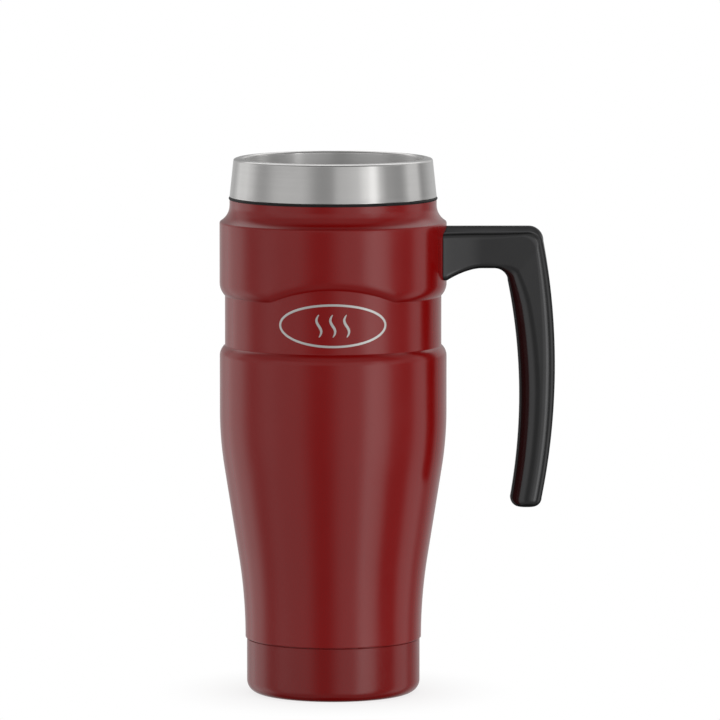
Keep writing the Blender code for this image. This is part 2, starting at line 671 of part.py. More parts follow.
def make_lid_core(material, lid):
    """Make the moulded core: flange under the collar, ported floor, keyed hub and plug skirt."""
    floor_radius = WELL_RADIUS + BAND_WALL
    profile = [(BORE_RADIUS, FLOOR_TOP), (BORE_RADIUS, HUB_END), (HUB_HALF_WIDTH, HUB_END)]
    profile += [(HUB_HALF_WIDTH, FLOOR_UNDERSIDE), (SKIRT_RADIUS, FLOOR_UNDERSIDE)]
    profile += [(SKIRT_RADIUS, -PLUG_DEPTH), (PLUG_RADIUS, -PLUG_DEPTH), (PLUG_RADIUS, 0.0)]
    profile += [(band_room(0.0), 0.0), (band_room(FLANGE_WALL), FLANGE_WALL)]
    profile += [(floor_radius, FLANGE_WALL), (floor_radius, FLOOR_TOP)]
    shape = turn(profile, COARSE_SEGMENTS, closed=True)
    make_hexagonal(shape, HUB_HALF_WIDTH)
    core = make_object("lid_core", shape, material, lid)
    for index in range(PORT_COUNT):
        middle = 2 * math.pi * (index + 0.5) / PORT_COUNT
        start = middle - PORT_ANGLE / 2
        end = middle + PORT_ANGLE / 2
        low = FLOOR_UNDERSIDE - GAP
        high = FLOOR_TOP + GAP
        shape = sector(PORT_INNER_RADIUS, PORT_OUTER_RADIUS, low, high, start, end, 4)
        combine(core, make_tool(f"port_{index}", shape, lid), "DIFFERENCE")


def make_twist_knob(material, lid):
    """Make the dial with its grip bar and the shaft that works the valve."""
    shaft = SHAFT_RADIUS
    groove = shaft - CLIP_GROOVE_DEPTH
    ring_groove = BORE_RADIUS - 2 * (RING_RADIUS + GAP)
    ring_z = FLOOR_UNDERSIDE - GAP
    ring_room = RING_RADIUS + GAP
    dial_top = DIAL_Z + DIAL_WALL
    profile = [(0.0, NUT_END - GAP), (shaft, NUT_END - GAP), (shaft, CLIP_TOP - CLIP_WALL - GAP)]
    profile += [(groove, CLIP_TOP - CLIP_WALL - GAP), (groove, CLIP_TOP + GAP), (shaft, CLIP_TOP + GAP)]
    profile += [(shaft, ring_z - ring_room), (ring_groove, ring_z - ring_room)]
    profile += [(ring_groove, ring_z + ring_room), (shaft, ring_z + ring_room), (shaft, DIAL_Z)]
    profile += [(DIAL_RADIUS, DIAL_Z), (DIAL_RADIUS, dial_top - DIAL_ROUND)]
    profile += [(DIAL_RADIUS - DIAL_ROUND, dial_top), (0.0, dial_top)]
    knob = make_object("twist_knob", turn(profile, KNOB_SEGMENTS, closed=False), material, lid)
    rings = []
    for height, draft in ((dial_top - DIAL_WALL / 2, 0.0), (dial_top + GRIP_BAR_HEIGHT, GRIP_BAR_DRAFT)):
        end_radius = GRIP_BAR_WIDTH / 2 - draft
        end_x = DIAL_RADIUS - GRIP_BAR_MARGIN - GRIP_BAR_WIDTH / 2
        plan = arc((end_x, 0.0), end_radius, -math.pi / 2, math.pi / 2, 6)
        plan += [(-x, -y) for x, y in plan]
        rings.append([(x, y, height) for x, y in plan])
    combine(knob, make_tool("grip_bar", loft(rings), lid), "UNION")


def make_knob_ring(material, lid):
    """Make the round sealing ring between the knob's shaft and the hub's bore."""
    centre = (BORE_RADIUS - GAP - RING_RADIUS, FLOOR_UNDERSIDE - GAP)
    profile = arc(centre, RING_RADIUS, 0.0, 2 * math.pi, 6)[:-1]
    make_object("knob_oring", turn(profile, SMALL_SEGMENTS, closed=True), material, lid)


def make_shaft_clip(material, lid):
    """Make the open clip in the shaft's groove, which keeps the knob from lifting out."""
    inner = SHAFT_RADIUS - CLIP_GROOVE_DEPTH + GAP
    start = CLIP_OPENING / 2
    end = 2 * math.pi - CLIP_OPENING / 2
    shape = sector(inner, inner + CLIP_WIDTH, CLIP_TOP - CLIP_WALL, CLIP_TOP, start, end, 18)
    make_object("shaft_clip", shape, material, lid)


def make_valve_plunger(material, lid):
    """Make the plunger: a disc under the floor with a keyed sleeve on the hub and a nut below it."""
    half_width = HUB_HALF_WIDTH + GAP
    sleeve_radius = half_width / math.cos(math.radians(30)) + SLEEVE_WALL
    disc_top = FLOOR_UNDERSIDE - DISC_DROP
    disc_low = disc_top - DISC_WALL
    seat = disc_top - SEAL_SEAT
    seat_radius = SEAL_INNER_RADIUS - GAP
    profile = [(half_width, disc_top), (half_width, NUT_TOP), (BORE_RADIUS, NUT_TOP)]
    profile += [(BORE_RADIUS, NUT_END), (sleeve_radius, NUT_END), (sleeve_radius, disc_low)]
    profile += [(SEAL_RADIUS - GAP, disc_low), (SEAL_RADIUS - GAP, seat)]
    profile += [(seat_radius, seat), (seat_radius, disc_top)]
    shape = turn(profile, COARSE_SEGMENTS, closed=True)
    make_hexagonal(shape, half_width)
    make_object("valve_plunger", shape, material, lid)


def make_valve_seal(material, lid):
    """Make the soft ring on the plunger that closes against the floor outside the ports."""
    low = FLOOR_UNDERSIDE - DISC_DROP - SEAL_SEAT + GAP
    crown = SEAL_WIDTH / 3
    shoulder = SEAL_TOP - crown
    profile = [(SEAL_INNER_RADIUS, low), (SEAL_RADIUS, low), (SEAL_RADIUS, shoulder)]
    profile += [(SEAL_RADIUS - crown, SEAL_TOP), (SEAL_INNER_RADIUS + crown, SEAL_TOP)]
    profile += [(SEAL_INNER_RADIUS, shoulder)]
    make_object("valve_seal", turn(profile, COARSE_SEGMENTS, closed=True), material, lid)


def main():
    """Build the mug, its handle and its lid."""
    clear_scene()
    red_paint = make_material("red_paint", (0.17, 0.002, 0.002), 0.35, 0.0)
    foot_paint = make_material("foot_paint", (0.17, 0.002, 0.002), 0.35, 0.0)
    liner_steel = make_material("liner_steel", (0.60, 0.59, 0.57), 0.30, 1.0)
    closure_steel = make_material("closure_steel", (0.50, 0.49, 0.47), 0.40, 1.0)
    copper_foil = make_material("copper_foil", (0.70, 0.33, 0.20), 0.25, 1.0)
    seal_glass = make_material("seal_glass", (0.20, 0.22, 0.24), 0.20, 0.0)
    getter_grey = make_material("getter_grey", (0.10, 0.10, 0.10), 0.80, 0.2)
    handle_plastic = make_material("handle_plastic", (0.030, 0.030, 0.032), 0.45, 0.0)
    bracket_steel = make_material("bracket_steel", (0.55, 0.54, 0.52), 0.35, 1.0)
    screw_steel = make_material("screw_steel", (0.62, 0.61, 0.60), 0.25, 1.0)
    band_steel = make_material("band_steel", (0.58, 0.57, 0.55), 0.28, 1.0)
    collar_plastic = make_material("collar_plastic", (0.020, 0.020, 0.021), 0.45, 0.0)
    lid_plastic = make_material("lid_plastic", (0.020, 0.020, 0.021), 0.40, 0.0)
    knob_plastic = make_material("knob_plastic", (0.022, 0.022, 0.023), 0.45, 0.0)
    plunger_plastic = make_material("plunger_plastic", (0.05, 0.05, 0.05), 0.45, 0.0)
    gasket_rubber = make_material("gasket_rubber", (0.012, 0.012, 0.012), 0.70, 0.0)
    seal_rubber = make_material("seal_rubber", (0.30, 0.30, 0.30), 0.60, 0.0)
    ring_rubber = make_material("ring_rubber", (0.015, 0.015, 0.015), 0.65, 0.0)
    clip_steel = make_material("clip_steel", (0.50, 0.49, 0.48), 0.30, 1.0)

    make_outer_shell(red_paint)
    make_base_cup(foot_paint)
    make_vacuum_closure(closure_steel)
    make_vacuum_seal(seal_glass)
    make_getter(getter_grey)
    make_inner_liner(liner_steel)
    make_liner_foil(copper_foil)

    make_handle(handle_plastic)
    make_handle_bracket(bracket_steel)
    make_handle_screws(screw_steel)

    lid = make_empty("lid_axis", LID_Z)
    make_lid_gasket(gasket_rubber, lid)
    make_lid_band(band_steel, lid)
    make_lid_collar(collar_plastic, lid)
    make_lid_core(lid_plastic, lid)
    make_twist_knob(knob_plastic, lid)
    make_knob_ring(ring_rubber, lid)
    make_shaft_clip(clip_steel, lid)
    make_valve_plunger(plunger_plastic, lid)
    make_valve_seal(seal_rubber, lid)


main()
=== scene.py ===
"""Looks of the insulated travel mug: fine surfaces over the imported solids, finishes, studio and camera.

Metres, +Z up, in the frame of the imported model: the mug stands on z = 0 with its axis on Z, the
handle points along +X and the arched front faces -Y. Angles round the axis count from +X. An
outline is a row of (radius, z) points, and a grid holds such points for every angle of a turn.
"""

import logging
import math
from dataclasses import dataclass
from enum import Enum

import bmesh
import bpy
import numpy as np
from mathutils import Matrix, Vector


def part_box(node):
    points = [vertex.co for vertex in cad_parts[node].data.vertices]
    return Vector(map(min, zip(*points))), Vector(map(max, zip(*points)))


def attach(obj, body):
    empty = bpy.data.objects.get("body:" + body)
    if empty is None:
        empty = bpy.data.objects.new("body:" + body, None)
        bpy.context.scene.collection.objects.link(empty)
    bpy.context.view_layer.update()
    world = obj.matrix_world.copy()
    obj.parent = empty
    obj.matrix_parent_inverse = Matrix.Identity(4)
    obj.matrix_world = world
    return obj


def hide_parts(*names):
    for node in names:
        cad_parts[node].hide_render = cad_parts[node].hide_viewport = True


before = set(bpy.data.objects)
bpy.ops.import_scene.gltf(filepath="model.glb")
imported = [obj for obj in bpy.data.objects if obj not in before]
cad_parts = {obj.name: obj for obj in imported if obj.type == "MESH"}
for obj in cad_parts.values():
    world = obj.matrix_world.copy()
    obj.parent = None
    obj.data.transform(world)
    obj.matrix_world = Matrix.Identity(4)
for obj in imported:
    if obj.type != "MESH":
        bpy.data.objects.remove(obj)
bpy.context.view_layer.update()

LOG = logging.getLogger("travel_mug")
Array = np.ndarray
Value = np.ndarray | float
Point = tuple[float, float]
Outline = np.ndarray | tuple[Point, ...]
Place = tuple[float, float, float]
Colour = tuple[float, float, float]
Item = bpy.types.Object
Node = bpy.types.Node
Socket = bpy.types.NodeSocket
Source = bpy.types.NodeSocket | float | tuple[float, ...]
Feeds = dict[str | int, Source]
TAU = 2 * math.pi
QUARTER = math.pi / 2
WELD = 1e-7  # points closer than this become one
SHARP_ANGLE = math.radians(40)
FIT = 0.0003  # gap between neighbouring pieces
MARK_SCALE = 45.0
BUMP_STRENGTH = 0.5
UP_THE_AXIS = 0.25  # share of a turn that sets the brushed shine upright


class Body(Enum):
    """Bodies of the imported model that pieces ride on."""

    MUG = "mug"
    GASKET = "gasket"
    LID = "lid"
    KNOB = "knob"
    VALVE = "valve"


class Texture(Enum):
    """Surface textures, by the name of their node group."""

    GRAIN = "moulded_grain"
    LINES = "turned_lines"


def between(start: float, end: float, share: Array) -> Array:
    """Value in proportion between a start, at share 0, and an end, at share 1."""
    return start + (end - start) * share


def smooth(share: Array) -> Array:
    """Ease a share from 0 to 1: 3 s squared minus 2 s cubed, held at both ends."""
    held = np.clip(share, 0.0, 1.0)
    return held * held * (3 - 2 * held)


def full_turn(columns: int) -> Array:
    """Angles of one whole turn, evenly spaced, without the repeated last one."""
    return np.arange(columns) * TAU / columns


def arc(centre: Point, radius: float, start: float, end: float, count: int) -> Array:
    """Points on a circle: centre plus radius times (cos a, sin a), with a even from start to end."""
    angle = np.linspace(start, end, count)
    return np.column_stack((centre[0] + radius * np.cos(angle), centre[1] + radius * np.sin(angle)))


def hexagon(half_width: float, angle: Array) -> Array:
    """Radius of a hexagon: half its width over the cosine of the angle from the nearest flat's middle."""
    return half_width / np.cos(np.mod(angle, math.pi / 3) - math.pi / 6)


def ring(inner: float, outer: float, low: float, high: float) -> tuple[Point, ...]:
    """Corners of a ring's section, from its lower inner edge round to its upper one."""
    return (inner, low), (outer, low), (outer, high), (inner, high)


def spread(outline: Outline, angle: Array) -> Array:
    """Grid with the same outline at every angle, shape (rows, columns, 2)."""
    return np.repeat(np.asarray(outline, float)[:, None, :], len(angle), axis=1)


def hoops(angle: Array, *rows: tuple[Value, Value]) -> Array:
    """Grid whose rows are (radius, z) pairs, each of them one number or one value per angle."""
    return np.stack([np.stack(np.broadcast_arrays(*row, angle)[:2], axis=-1) for row in rows])


def turned(grid: Array, angle: Array) -> Array:
    """Surface of revolution: (r, z) at angle a goes to (r cos a, r sin a, z)."""
    radius, height = grid[..., 0], grid[..., 1]
    return np.stack((radius * np.cos(angle), radius * np.sin(angle), height), axis=-1)


def rounded(corners: Outline, radii: Array | tuple[float, ...], steps: int) -> Array:
    """Closed outline with round corners, for one polygon or for a row of them.

    At each corner an arc touches both sides: its middle lies on the corner's bisector at radius
    over the sine of half the angle, and its points swing from one touching point to the other. A
    point just before and one just after each arc keep the straight sides flat when shaded.

    Args:
        corners: polygon corners, shape (..., corners, 2).
        radii: radius at each corner, shape (..., corners).
        steps: points on each arc.

    Returns:
        Outline of shape (..., corners * (steps + 2), 2).
    """
    corners = np.asarray(corners, float)
    radii = np.maximum(np.asarray(radii, float), WELD)[..., None]
    sides = [np.roll(corners, way, axis=-2) - corners for way in (1, -1)]
    reaches = [np.linalg.norm(side, axis=-1, keepdims=True) for side in sides]
    before, after = sides = [side / reach for side, reach in zip(sides, reaches)]
    half = np.arccos(np.clip((before * after).sum(-1, keepdims=True), -1.0, 1.0)) / 2
    touch = radii / np.tan(half)
    bisector = (before + after) / np.linalg.norm(before + after, axis=-1, keepdims=True)
    middle = corners + bisector * radii / np.sin(half)
    swing = np.maximum(math.pi - 2 * half, WELD)[..., None, :]
    share = np.linspace(0.0, 1.0, steps)[:, None]
    first, last = ((corners + side * touch - middle)[..., None, :] for side in sides)
    swung = (first * np.sin((1 - share) * swing) + last * np.sin(share * swing)) / np.sin(swing)
    leads = [np.minimum(touch + FIT, (reach + touch) / 2) for reach in reaches]
    entry, leave = ((corners + side * lead)[..., None, :] for side, lead in zip(sides, leads))
    points = np.concatenate((entry, middle[..., None, :] + swung, leave), axis=-2)
    return points.reshape(*points.shape[:-3], -1, 2)


@dataclass
class Patch:
    """A grid of points in space, and whether its rows and its columns close on themselves."""

    points: Array
    rows_close: bool = True
    columns_close: bool = True

    def quads(self) -> Array:
        """Corner numbers of every cell: a point, its neighbours along both ways and the one between.

        Returns:
            Array of shape (cells, 4).
        """
        rows, columns = self.points.shape[:2]
        row = np.arange(rows if self.rows_close else rows - 1)
        column = np.arange(columns if self.columns_close else columns - 1)
        i, j = np.meshgrid(row, column, indexing="ij")
        next_i, next_j = (i + 1) % rows, (j + 1) % columns
        cells = (i * columns + j, i * columns + next_j, next_i * columns + next_j, next_i * columns + j)
        return np.stack(cells, axis=-1).reshape(-1, 4)

    def add_to(self, whole: bmesh.types.BMesh) -> None:
        """Weld the grid's poles and seams, drop what they leave loose, face it outwards and add it.

        Args:
            whole: shape that the patch is added to.
        """
        mesh = bpy.data.meshes.new("patch")
        mesh.from_pydata(self.points.reshape(-1, 3).tolist(), [], self.quads().tolist())
        shape = bmesh.new()
        shape.from_mesh(mesh)
        bmesh.ops.remove_doubles(shape, verts=shape.verts, dist=WELD)
        bmesh.ops.dissolve_degenerate(shape, edges=shape.edges, dist=WELD)
        loose = [edge for edge in shape.edges if not edge.link_faces]
        bmesh.ops.delete(shape, geom=loose, context="EDGES")
        bmesh.ops.recalc_face_normals(shape, faces=shape.faces)
        shape.to_mesh(mesh)
        shape.free()
        whole.from_mesh(mesh)
        bpy.data.meshes.remove(mesh)


def lathe(outline: Outline, angle: Array) -> Patch:
    """Patch of one closed outline turned round the axis."""
    return Patch(turned(spread(outline, angle), angle))


def make_mesh(name: str, *patches: Patch) -> Item:
    """Join patches into one smooth-shaded object at the origin, with creases left sharp.

    Args:
        name: name of the object and its mesh.
        patches: grids that make up the object.

    Returns:
        The new object.
    """
    whole = bmesh.new()
    for patch in patches:
        patch.add_to(whole)
    mesh = bpy.data.meshes.new(name)
    whole.to_mesh(mesh)
    whole.free()
    mesh.shade_smooth()
    mesh.set_sharp_from_angle(angle=SHARP_ANGLE)
    item = bpy.data.objects.new(name, mesh)
    bpy.context.scene.collection.objects.link(item)
    return item


def cut(item: Item, tools: list[Item]) -> None:
    """Cut closed tools out of an object, apply the cuts and remove the tools.

    Args:
        item: object that is cut.
        tools: closed objects whose room is taken away.
    """
    for tool in tools:
        boolean = item.modifiers.new(tool.name, "BOOLEAN")
        boolean.operation = "DIFFERENCE"
        boolean.solver = "EXACT"
        boolean.object = tool
    ready = item.evaluated_get(bpy.context.evaluated_depsgraph_get())
    whole = bpy.data.meshes.new_from_object(ready)
    item.modifiers.clear()
    item.data = whole
    whole.name = item.name
    whole.set_sharp_from_angle(angle=SHARP_ANGLE)
    for tool in tools:
        bpy.data.objects.remove(tool, do_unlink=True)


class NodeTree:
    """Places and joins nodes in one shader tree."""

    def __init__(self, tree: bpy.types.NodeTree) -> None:
        """Start from an empty tree."""
        self.tree = tree
        self.tree.nodes.clear()

    def add(self, kind: str, feeds: Feeds | None = None, **settings: object) -> Node:
        """Place a node.

        Args:
            kind: Blender's name of the node type.
            feeds: sockets or plain values for inputs, by name or number.
            settings: properties of the node itself.

        Returns:
            The new node.
        """
        node = self.tree.nodes.new(kind)
        for name, value in settings.items():
            setattr(node, name, value)
        for key, source in (feeds or {}).items():
            self.feed(source, node.inputs[key])
        return node

    def feed(self, source: Source, target: Socket) -> None:
        """Link an input where the source is a socket, or else set its value.

        Args:
            source: socket or plain value.
            target: input that takes it.
        """
        if isinstance(source, Socket):
            self.tree.links.new(source, target)
        else:
            target.default_value = source

    def math(self, operation: str, *operands: Source) -> Socket:
        """Work out a number from sockets and numbers."""
        return self.add("ShaderNodeMath", dict(enumerate(operands)), operation=operation).outputs[0]

    def vector(self, operation: str, *operands: Source) -> Node:
        """Work out a vector, or a number from vectors."""
        return self.add("ShaderNodeVectorMath", dict(enumerate(operands)), operation=operation)

    def place(self, output: str) -> Socket:
        """Coordinates of the shaded point."""
        return self.add("ShaderNodeTexCoord").outputs[output]

    def ease(self, value: Socket, start: float, end: float, low: float, high: float) -> Socket:
        """Ease from low to high while a value goes from start to end."""
        feeds = {"Value": value, "From Min": start, "From Max": end, "To Min": low, "To Max": high}
        return self.add("ShaderNodeMapRange", feeds, interpolation_type="SMOOTHSTEP").outputs["Result"]

    def mix(self, first: Socket, second: Socket, share: Socket) -> Socket:
        """Mix two levels: first times (1 - share) plus second times share."""
        kept = self.math("MULTIPLY", first, self.math("SUBTRACT", 1.0, share))
        return self.math("ADD", kept, self.math("MULTIPLY", share, second))


@dataclass(frozen=True)
class Layer:
    """A layer of noise: its output, its ratio to the scale, its detail and its stretch round the axis."""

    output: str
    ratio: float
    detail: float
    along: float = 0.0


class TextureGroups:
    """Node groups that several finishes share, each built once."""

    LAYERS = {
        Texture.GRAIN: (Layer("Fine", 1.0, 3.0), Layer("Broad", 0.05, 2.0)),
        Texture.LINES: (Layer("Fine", 1.0, 4.0, 30.0), Layer("Broad", 0.16, 2.0, 12.0)),
    }
    LAYER_ROUGHNESS = 0.6
    MARK_NOISE = {"Detail": 3.0, "Roughness": 0.55, "Distortion": 0.8}
    MARK_LEVELS = (0.5, 0.75)

    def __init__(self) -> None:
        """Build the grain, the turned lines and the handling marks."""
        self.groups = {texture: self._texture(texture) for texture in Texture}
        self.marks = self._marks()

    @staticmethod
    def _start(name: str, *outputs: str) -> tuple[NodeTree, Socket, Node]:
        """Open a group with a Scale input and its outputs.

        Args:
            name: name of the group.
            outputs: names of its outputs.

        Returns:
            The tree, its scale and its output node.
        """
        group = bpy.data.node_groups.new(name, "ShaderNodeTree")
        group.interface.new_socket("Scale", in_out="INPUT", socket_type="NodeSocketFloat")
        for output in outputs:
            group.interface.new_socket(output, in_out="OUTPUT", socket_type="NodeSocketFloat")
        tree = NodeTree(group)
        return tree, tree.add("NodeGroupInput").outputs["Scale"], tree.add("NodeGroupOutput")

    def _texture(self, texture: Texture) -> bpy.types.NodeTree:
        """Layers of noise, even all ways or drawn out round the axis and close-set up it.

        Args:
            texture: texture whose layers are built.

        Returns:
            The node group.
        """
        layers = self.LAYERS[texture]
        tree, scale, leave = self._start(texture.value, *(layer.output for layer in layers))
        place = tree.place("Object")
        for layer in layers:
            close = tree.math("MULTIPLY", scale, layer.ratio)
            round_axis = layer.along or close
            stretch = tree.add("ShaderNodeCombineXYZ", {"X": round_axis, "Y": round_axis, "Z": close})
            drawn = tree.vector("MULTIPLY", place, stretch.outputs[0]).outputs["Vector"]
            feeds = {"Vector": drawn, "Scale": 1.0, "Detail": layer.detail, "Roughness": self.LAYER_ROUGHNESS}
            tree.feed(tree.add("ShaderNodeTexNoise", feeds).outputs["Fac"], leave.inputs[layer.output])
        return tree.tree

    def _marks(self) -> bpy.types.NodeTree:
        """Marks of handling: soft, sparse patches where warped noise passes a level.

        Returns:
            The node group.
        """
        tree, scale, leave = self._start("handling_marks", "Mask")
        feeds = {"Vector": tree.place("Object"), "Scale": scale, **self.MARK_NOISE}
        noise = tree.add("ShaderNodeTexNoise", feeds).outputs["Fac"]
        tree.feed(tree.ease(noise, *self.MARK_LEVELS, 0.0, 1.0), leave.inputs["Mask"])
        return tree.tree


@dataclass(frozen=True)
class Finish:
    """One finish: two close shades, a range of roughness, and a texture with its scale and relief."""

    name: str
    shade: Colour
    tint: Colour
    rough: tuple[float, float]
    scale: float
    relief: float
    texture: Texture = Texture.GRAIN
    metallic: float = 0.0
    brushed: float = 0.0
    marks: float = 0.04
    specular: float = 0.5
    edge_shine: float = 1.0

    def material(self, groups: TextureGroups) -> bpy.types.Material:
        """Build the material: the texture drives shade, roughness and relief, and marks dull it.

        Args:
            groups: shared node groups.

        Returns:
            The new material.
        """
        material = bpy.data.materials.new(self.name)
        material.use_nodes = True
        tree = NodeTree(material.node_tree)
        texture = tree.add("ShaderNodeGroup", node_tree=groups.groups[self.texture])
        texture.inputs["Scale"].default_value = self.scale
        marks = tree.add("ShaderNodeGroup", node_tree=groups.marks)
        marks.inputs["Scale"].default_value = MARK_SCALE
        fine = texture.outputs["Fine"]
        mixed = tree.math("MULTIPLY", tree.math("ADD", fine, texture.outputs["Broad"]), 0.5)
        ramp = tree.add("ShaderNodeValToRGB", {"Fac": mixed})
        for stop, shade in zip(ramp.color_ramp.elements, (self.shade, self.tint)):
            stop.color = (*shade, 1.0)
        low, high = self.rough
        rough = tree.add("ShaderNodeMapRange", {"Value": mixed, "To Min": low, "To Max": high})
        dulled = tree.math("MULTIPLY", marks.outputs["Mask"], self.marks)
        relief = {"Strength": BUMP_STRENGTH, "Distance": self.relief, "Height": fine}
        bump = tree.add("ShaderNodeBump", relief)
        shader = tree.add("ShaderNodeBsdfPrincipled", {
            "Base Color": ramp.outputs["Color"], "Metallic": self.metallic,
            "Roughness": tree.math("ADD", rough.outputs["Result"], dulled),
            "Normal": bump.outputs["Normal"], "Specular IOR Level": self.specular,
            "Specular Tint": (*(self.edge_shine,) * 3, 1.0), "Anisotropic": self.brushed,
            "Anisotropic Rotation": UP_THE_AXIS,
        })
        if self.brushed:
            tangent = tree.add("ShaderNodeTangent", direction_type="RADIAL", axis="Z")
            tree.feed(tangent.outputs["Tangent"], shader.inputs["Tangent"])
        tree.add("ShaderNodeOutputMaterial", {"Surface": shader.outputs[0]})
        return material


FINISHES = (
    Finish("red_paint", (0.150, 0.0002, 0.0002), (0.172, 0.0004, 0.0004), (0.16, 0.22), 2600.0, 4e-6),
    # foot_paint is the shell's red paint made darker: painted shade standing in for the light falling off
    # towards the floor
    Finish("foot_paint", (0.129, 0.0002, 0.0002), (0.148, 0.0004, 0.0004), (0.16, 0.22), 2600.0, 4e-6),
    Finish("print_silver", (0.46, 0.46, 0.45), (0.62, 0.62, 0.60), (0.34, 0.46), 5000.0, 3e-6, metallic=0.75),
    Finish("band_steel", (0.58, 0.575, 0.565), (0.70, 0.69, 0.68), (0.19, 0.26), 5200.0, 2.5e-6,
           Texture.LINES, 1.0, brushed=1.0),
    # the well's steel is the band's steel in a lighter shade: painted light on the inside of the well; its
    # higher roughness is the steel's own
    Finish("well_steel_painted_light", (0.66, 0.655, 0.645), (0.78, 0.77, 0.76), (0.30, 0.38), 5200.0, 2.5e-6,
           Texture.LINES, 1.0, brushed=0.8),
    Finish("lip_steel", (0.60, 0.595, 0.585), (0.70, 0.69, 0.68), (0.16, 0.22), 5200.0, 1.5e-6,
           Texture.LINES, 1.0, brushed=0.92),
    Finish("liner_steel", (0.52, 0.515, 0.50), (0.62, 0.61, 0.595), (0.20, 0.36), 3600.0, 3e-6,
           Texture.LINES, 1.0, brushed=0.4),
    Finish("handle_plastic", (0.067, 0.067, 0.068), (0.079, 0.079, 0.080), (0.14, 0.20), 3000.0, 5e-6,
           metallic=0.9, specular=0.0, edge_shine=0.36),
    Finish("gasket_rubber", (0.006, 0.006, 0.006), (0.012, 0.012, 0.012), (0.50, 0.70), 2400.0, 5e-6),
    Finish("lid_plastic", (0.009, 0.009, 0.010), (0.015, 0.015, 0.016), (0.32, 0.48), 2600.0, 8e-6),
    Finish("collar_plastic", (0.012, 0.012, 0.013), (0.020, 0.020, 0.021), (0.45, 0.60), 2200.0, 9e-6),
    Finish("knob_plastic", (0.011, 0.011, 0.012), (0.018, 0.018, 0.019), (0.34, 0.52), 2600.0, 1.2e-5),
    Finish("plunger_plastic", (0.035, 0.035, 0.037), (0.055, 0.055, 0.057), (0.38, 0.52), 2400.0, 9e-6),
    Finish("seal_rubber", (0.24, 0.24, 0.24), (0.32, 0.32, 0.32), (0.45, 0.60), 2400.0, 5e-6),
    Finish("ring_rubber", (0.010, 0.010, 0.010), (0.018, 0.018, 0.018), (0.45, 0.60), 2400.0, 4e-6),
    Finish("screw_steel", (0.50, 0.49, 0.48), (0.66, 0.65, 0.64), (0.18, 0.34), 9000.0, 2e-6,
           Texture.LINES, 1.0),
    Finish("bracket_steel", (0.46, 0.45, 0.44), (0.60, 0.59, 0.57), (0.28, 0.42), 1800.0, 5e-6, metallic=1.0),
    Finish("closure_steel", (0.44, 0.43, 0.42), (0.56, 0.55, 0.53), (0.30, 0.44), 2200.0, 5e-6,
           Texture.LINES, 1.0),
    Finish("clip_steel", (0.44, 0.43, 0.42), (0.56, 0.55, 0.54), (0.24, 0.36), 4000.0, 3e-6, metallic=1.0),
    Finish("copper_foil", (0.62, 0.28, 0.17), (0.78, 0.38, 0.24), (0.16, 0.34), 300.0, 4e-5, metallic=1.0),
    Finish("seal_glass", (0.16, 0.18, 0.20), (0.24, 0.26, 0.28), (0.12, 0.24), 1500.0, 4e-6),
    Finish("getter_grey", (0.07, 0.07, 0.07), (0.13, 0.13, 0.13), (0.70, 0.90), 3000.0, 3e-5, metallic=0.2),
)


class Palette:
    """The materials of every finish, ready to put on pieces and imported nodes."""

    def __init__(self) -> None:
        """Build each finish once."""
        groups = TextureGroups()
        self.materials = {finish.name: finish.material(groups) for finish in FINISHES}

    def dress(self, item: Item, finish: str) -> None:
        """Put one finish on an object in place of what it had."""
        item.data.materials.clear()
        item.data.materials.append(self.materials[finish])


class Assembly:
    """Shared work of the sub-assemblies: pieces that ride, stand for nodes and carry a finish."""

    palette: Palette

    def piece(
        self, name: str, body: Body, slot: str, nodes: tuple[str, ...], *patches: Patch, finish: str = ""
    ) -> Item:
        """Make one piece from grids, set it on its body and dress it.

        Args:
            name: name of the piece.
            body: body that it moves with.
            slot: the record's material slot.
            nodes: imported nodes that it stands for.
            patches: grids that make it up.
            finish: finish other than the slot's own.

        Returns:
            The new object.
        """
        item = make_mesh(name, *patches)
        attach(item, body.value)
        if nodes:
            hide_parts(*nodes)
        self.palette.dress(item, finish or slot)
        LOG.info("%s on %s: %d faces", name, body.value, len(item.data.polygons))
        return item

    def keep(self, node: str, finish: str) -> None:
        """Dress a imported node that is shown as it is."""
        self.palette.dress(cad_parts[node], finish)
        LOG.info("%s kept in %s", node, finish)


@dataclass(frozen=True)
class Thread:
    """A rounded screw ridge on a wall that stands round the axis."""

    start: float
    lead: float
    turns: float
    height: float
    half_width: float
    fade: float = 0.12

    def ridge(self, angle: Array, z: Array) -> Array:
        """Height of the ridge: a raised cosine across a helix, eased away over its two ends.

        Args:
            angle: angles round the axis.
            z: heights, of a shape that fits the angles.

        Returns:
            How far the ridge stands from the wall.
        """
        winds = (z - self.start) / self.lead - angle / TAU
        wind = np.round(winds)
        across = np.clip(np.abs(winds - wind) * self.lead / self.half_width, 0.0, 1.0)
        along = angle / TAU + wind
        ends = smooth(along / self.fade) * smooth((self.turns - along) / self.fade)
        return self.height * ends * (0.5 + 0.5 * np.cos(math.pi * across))


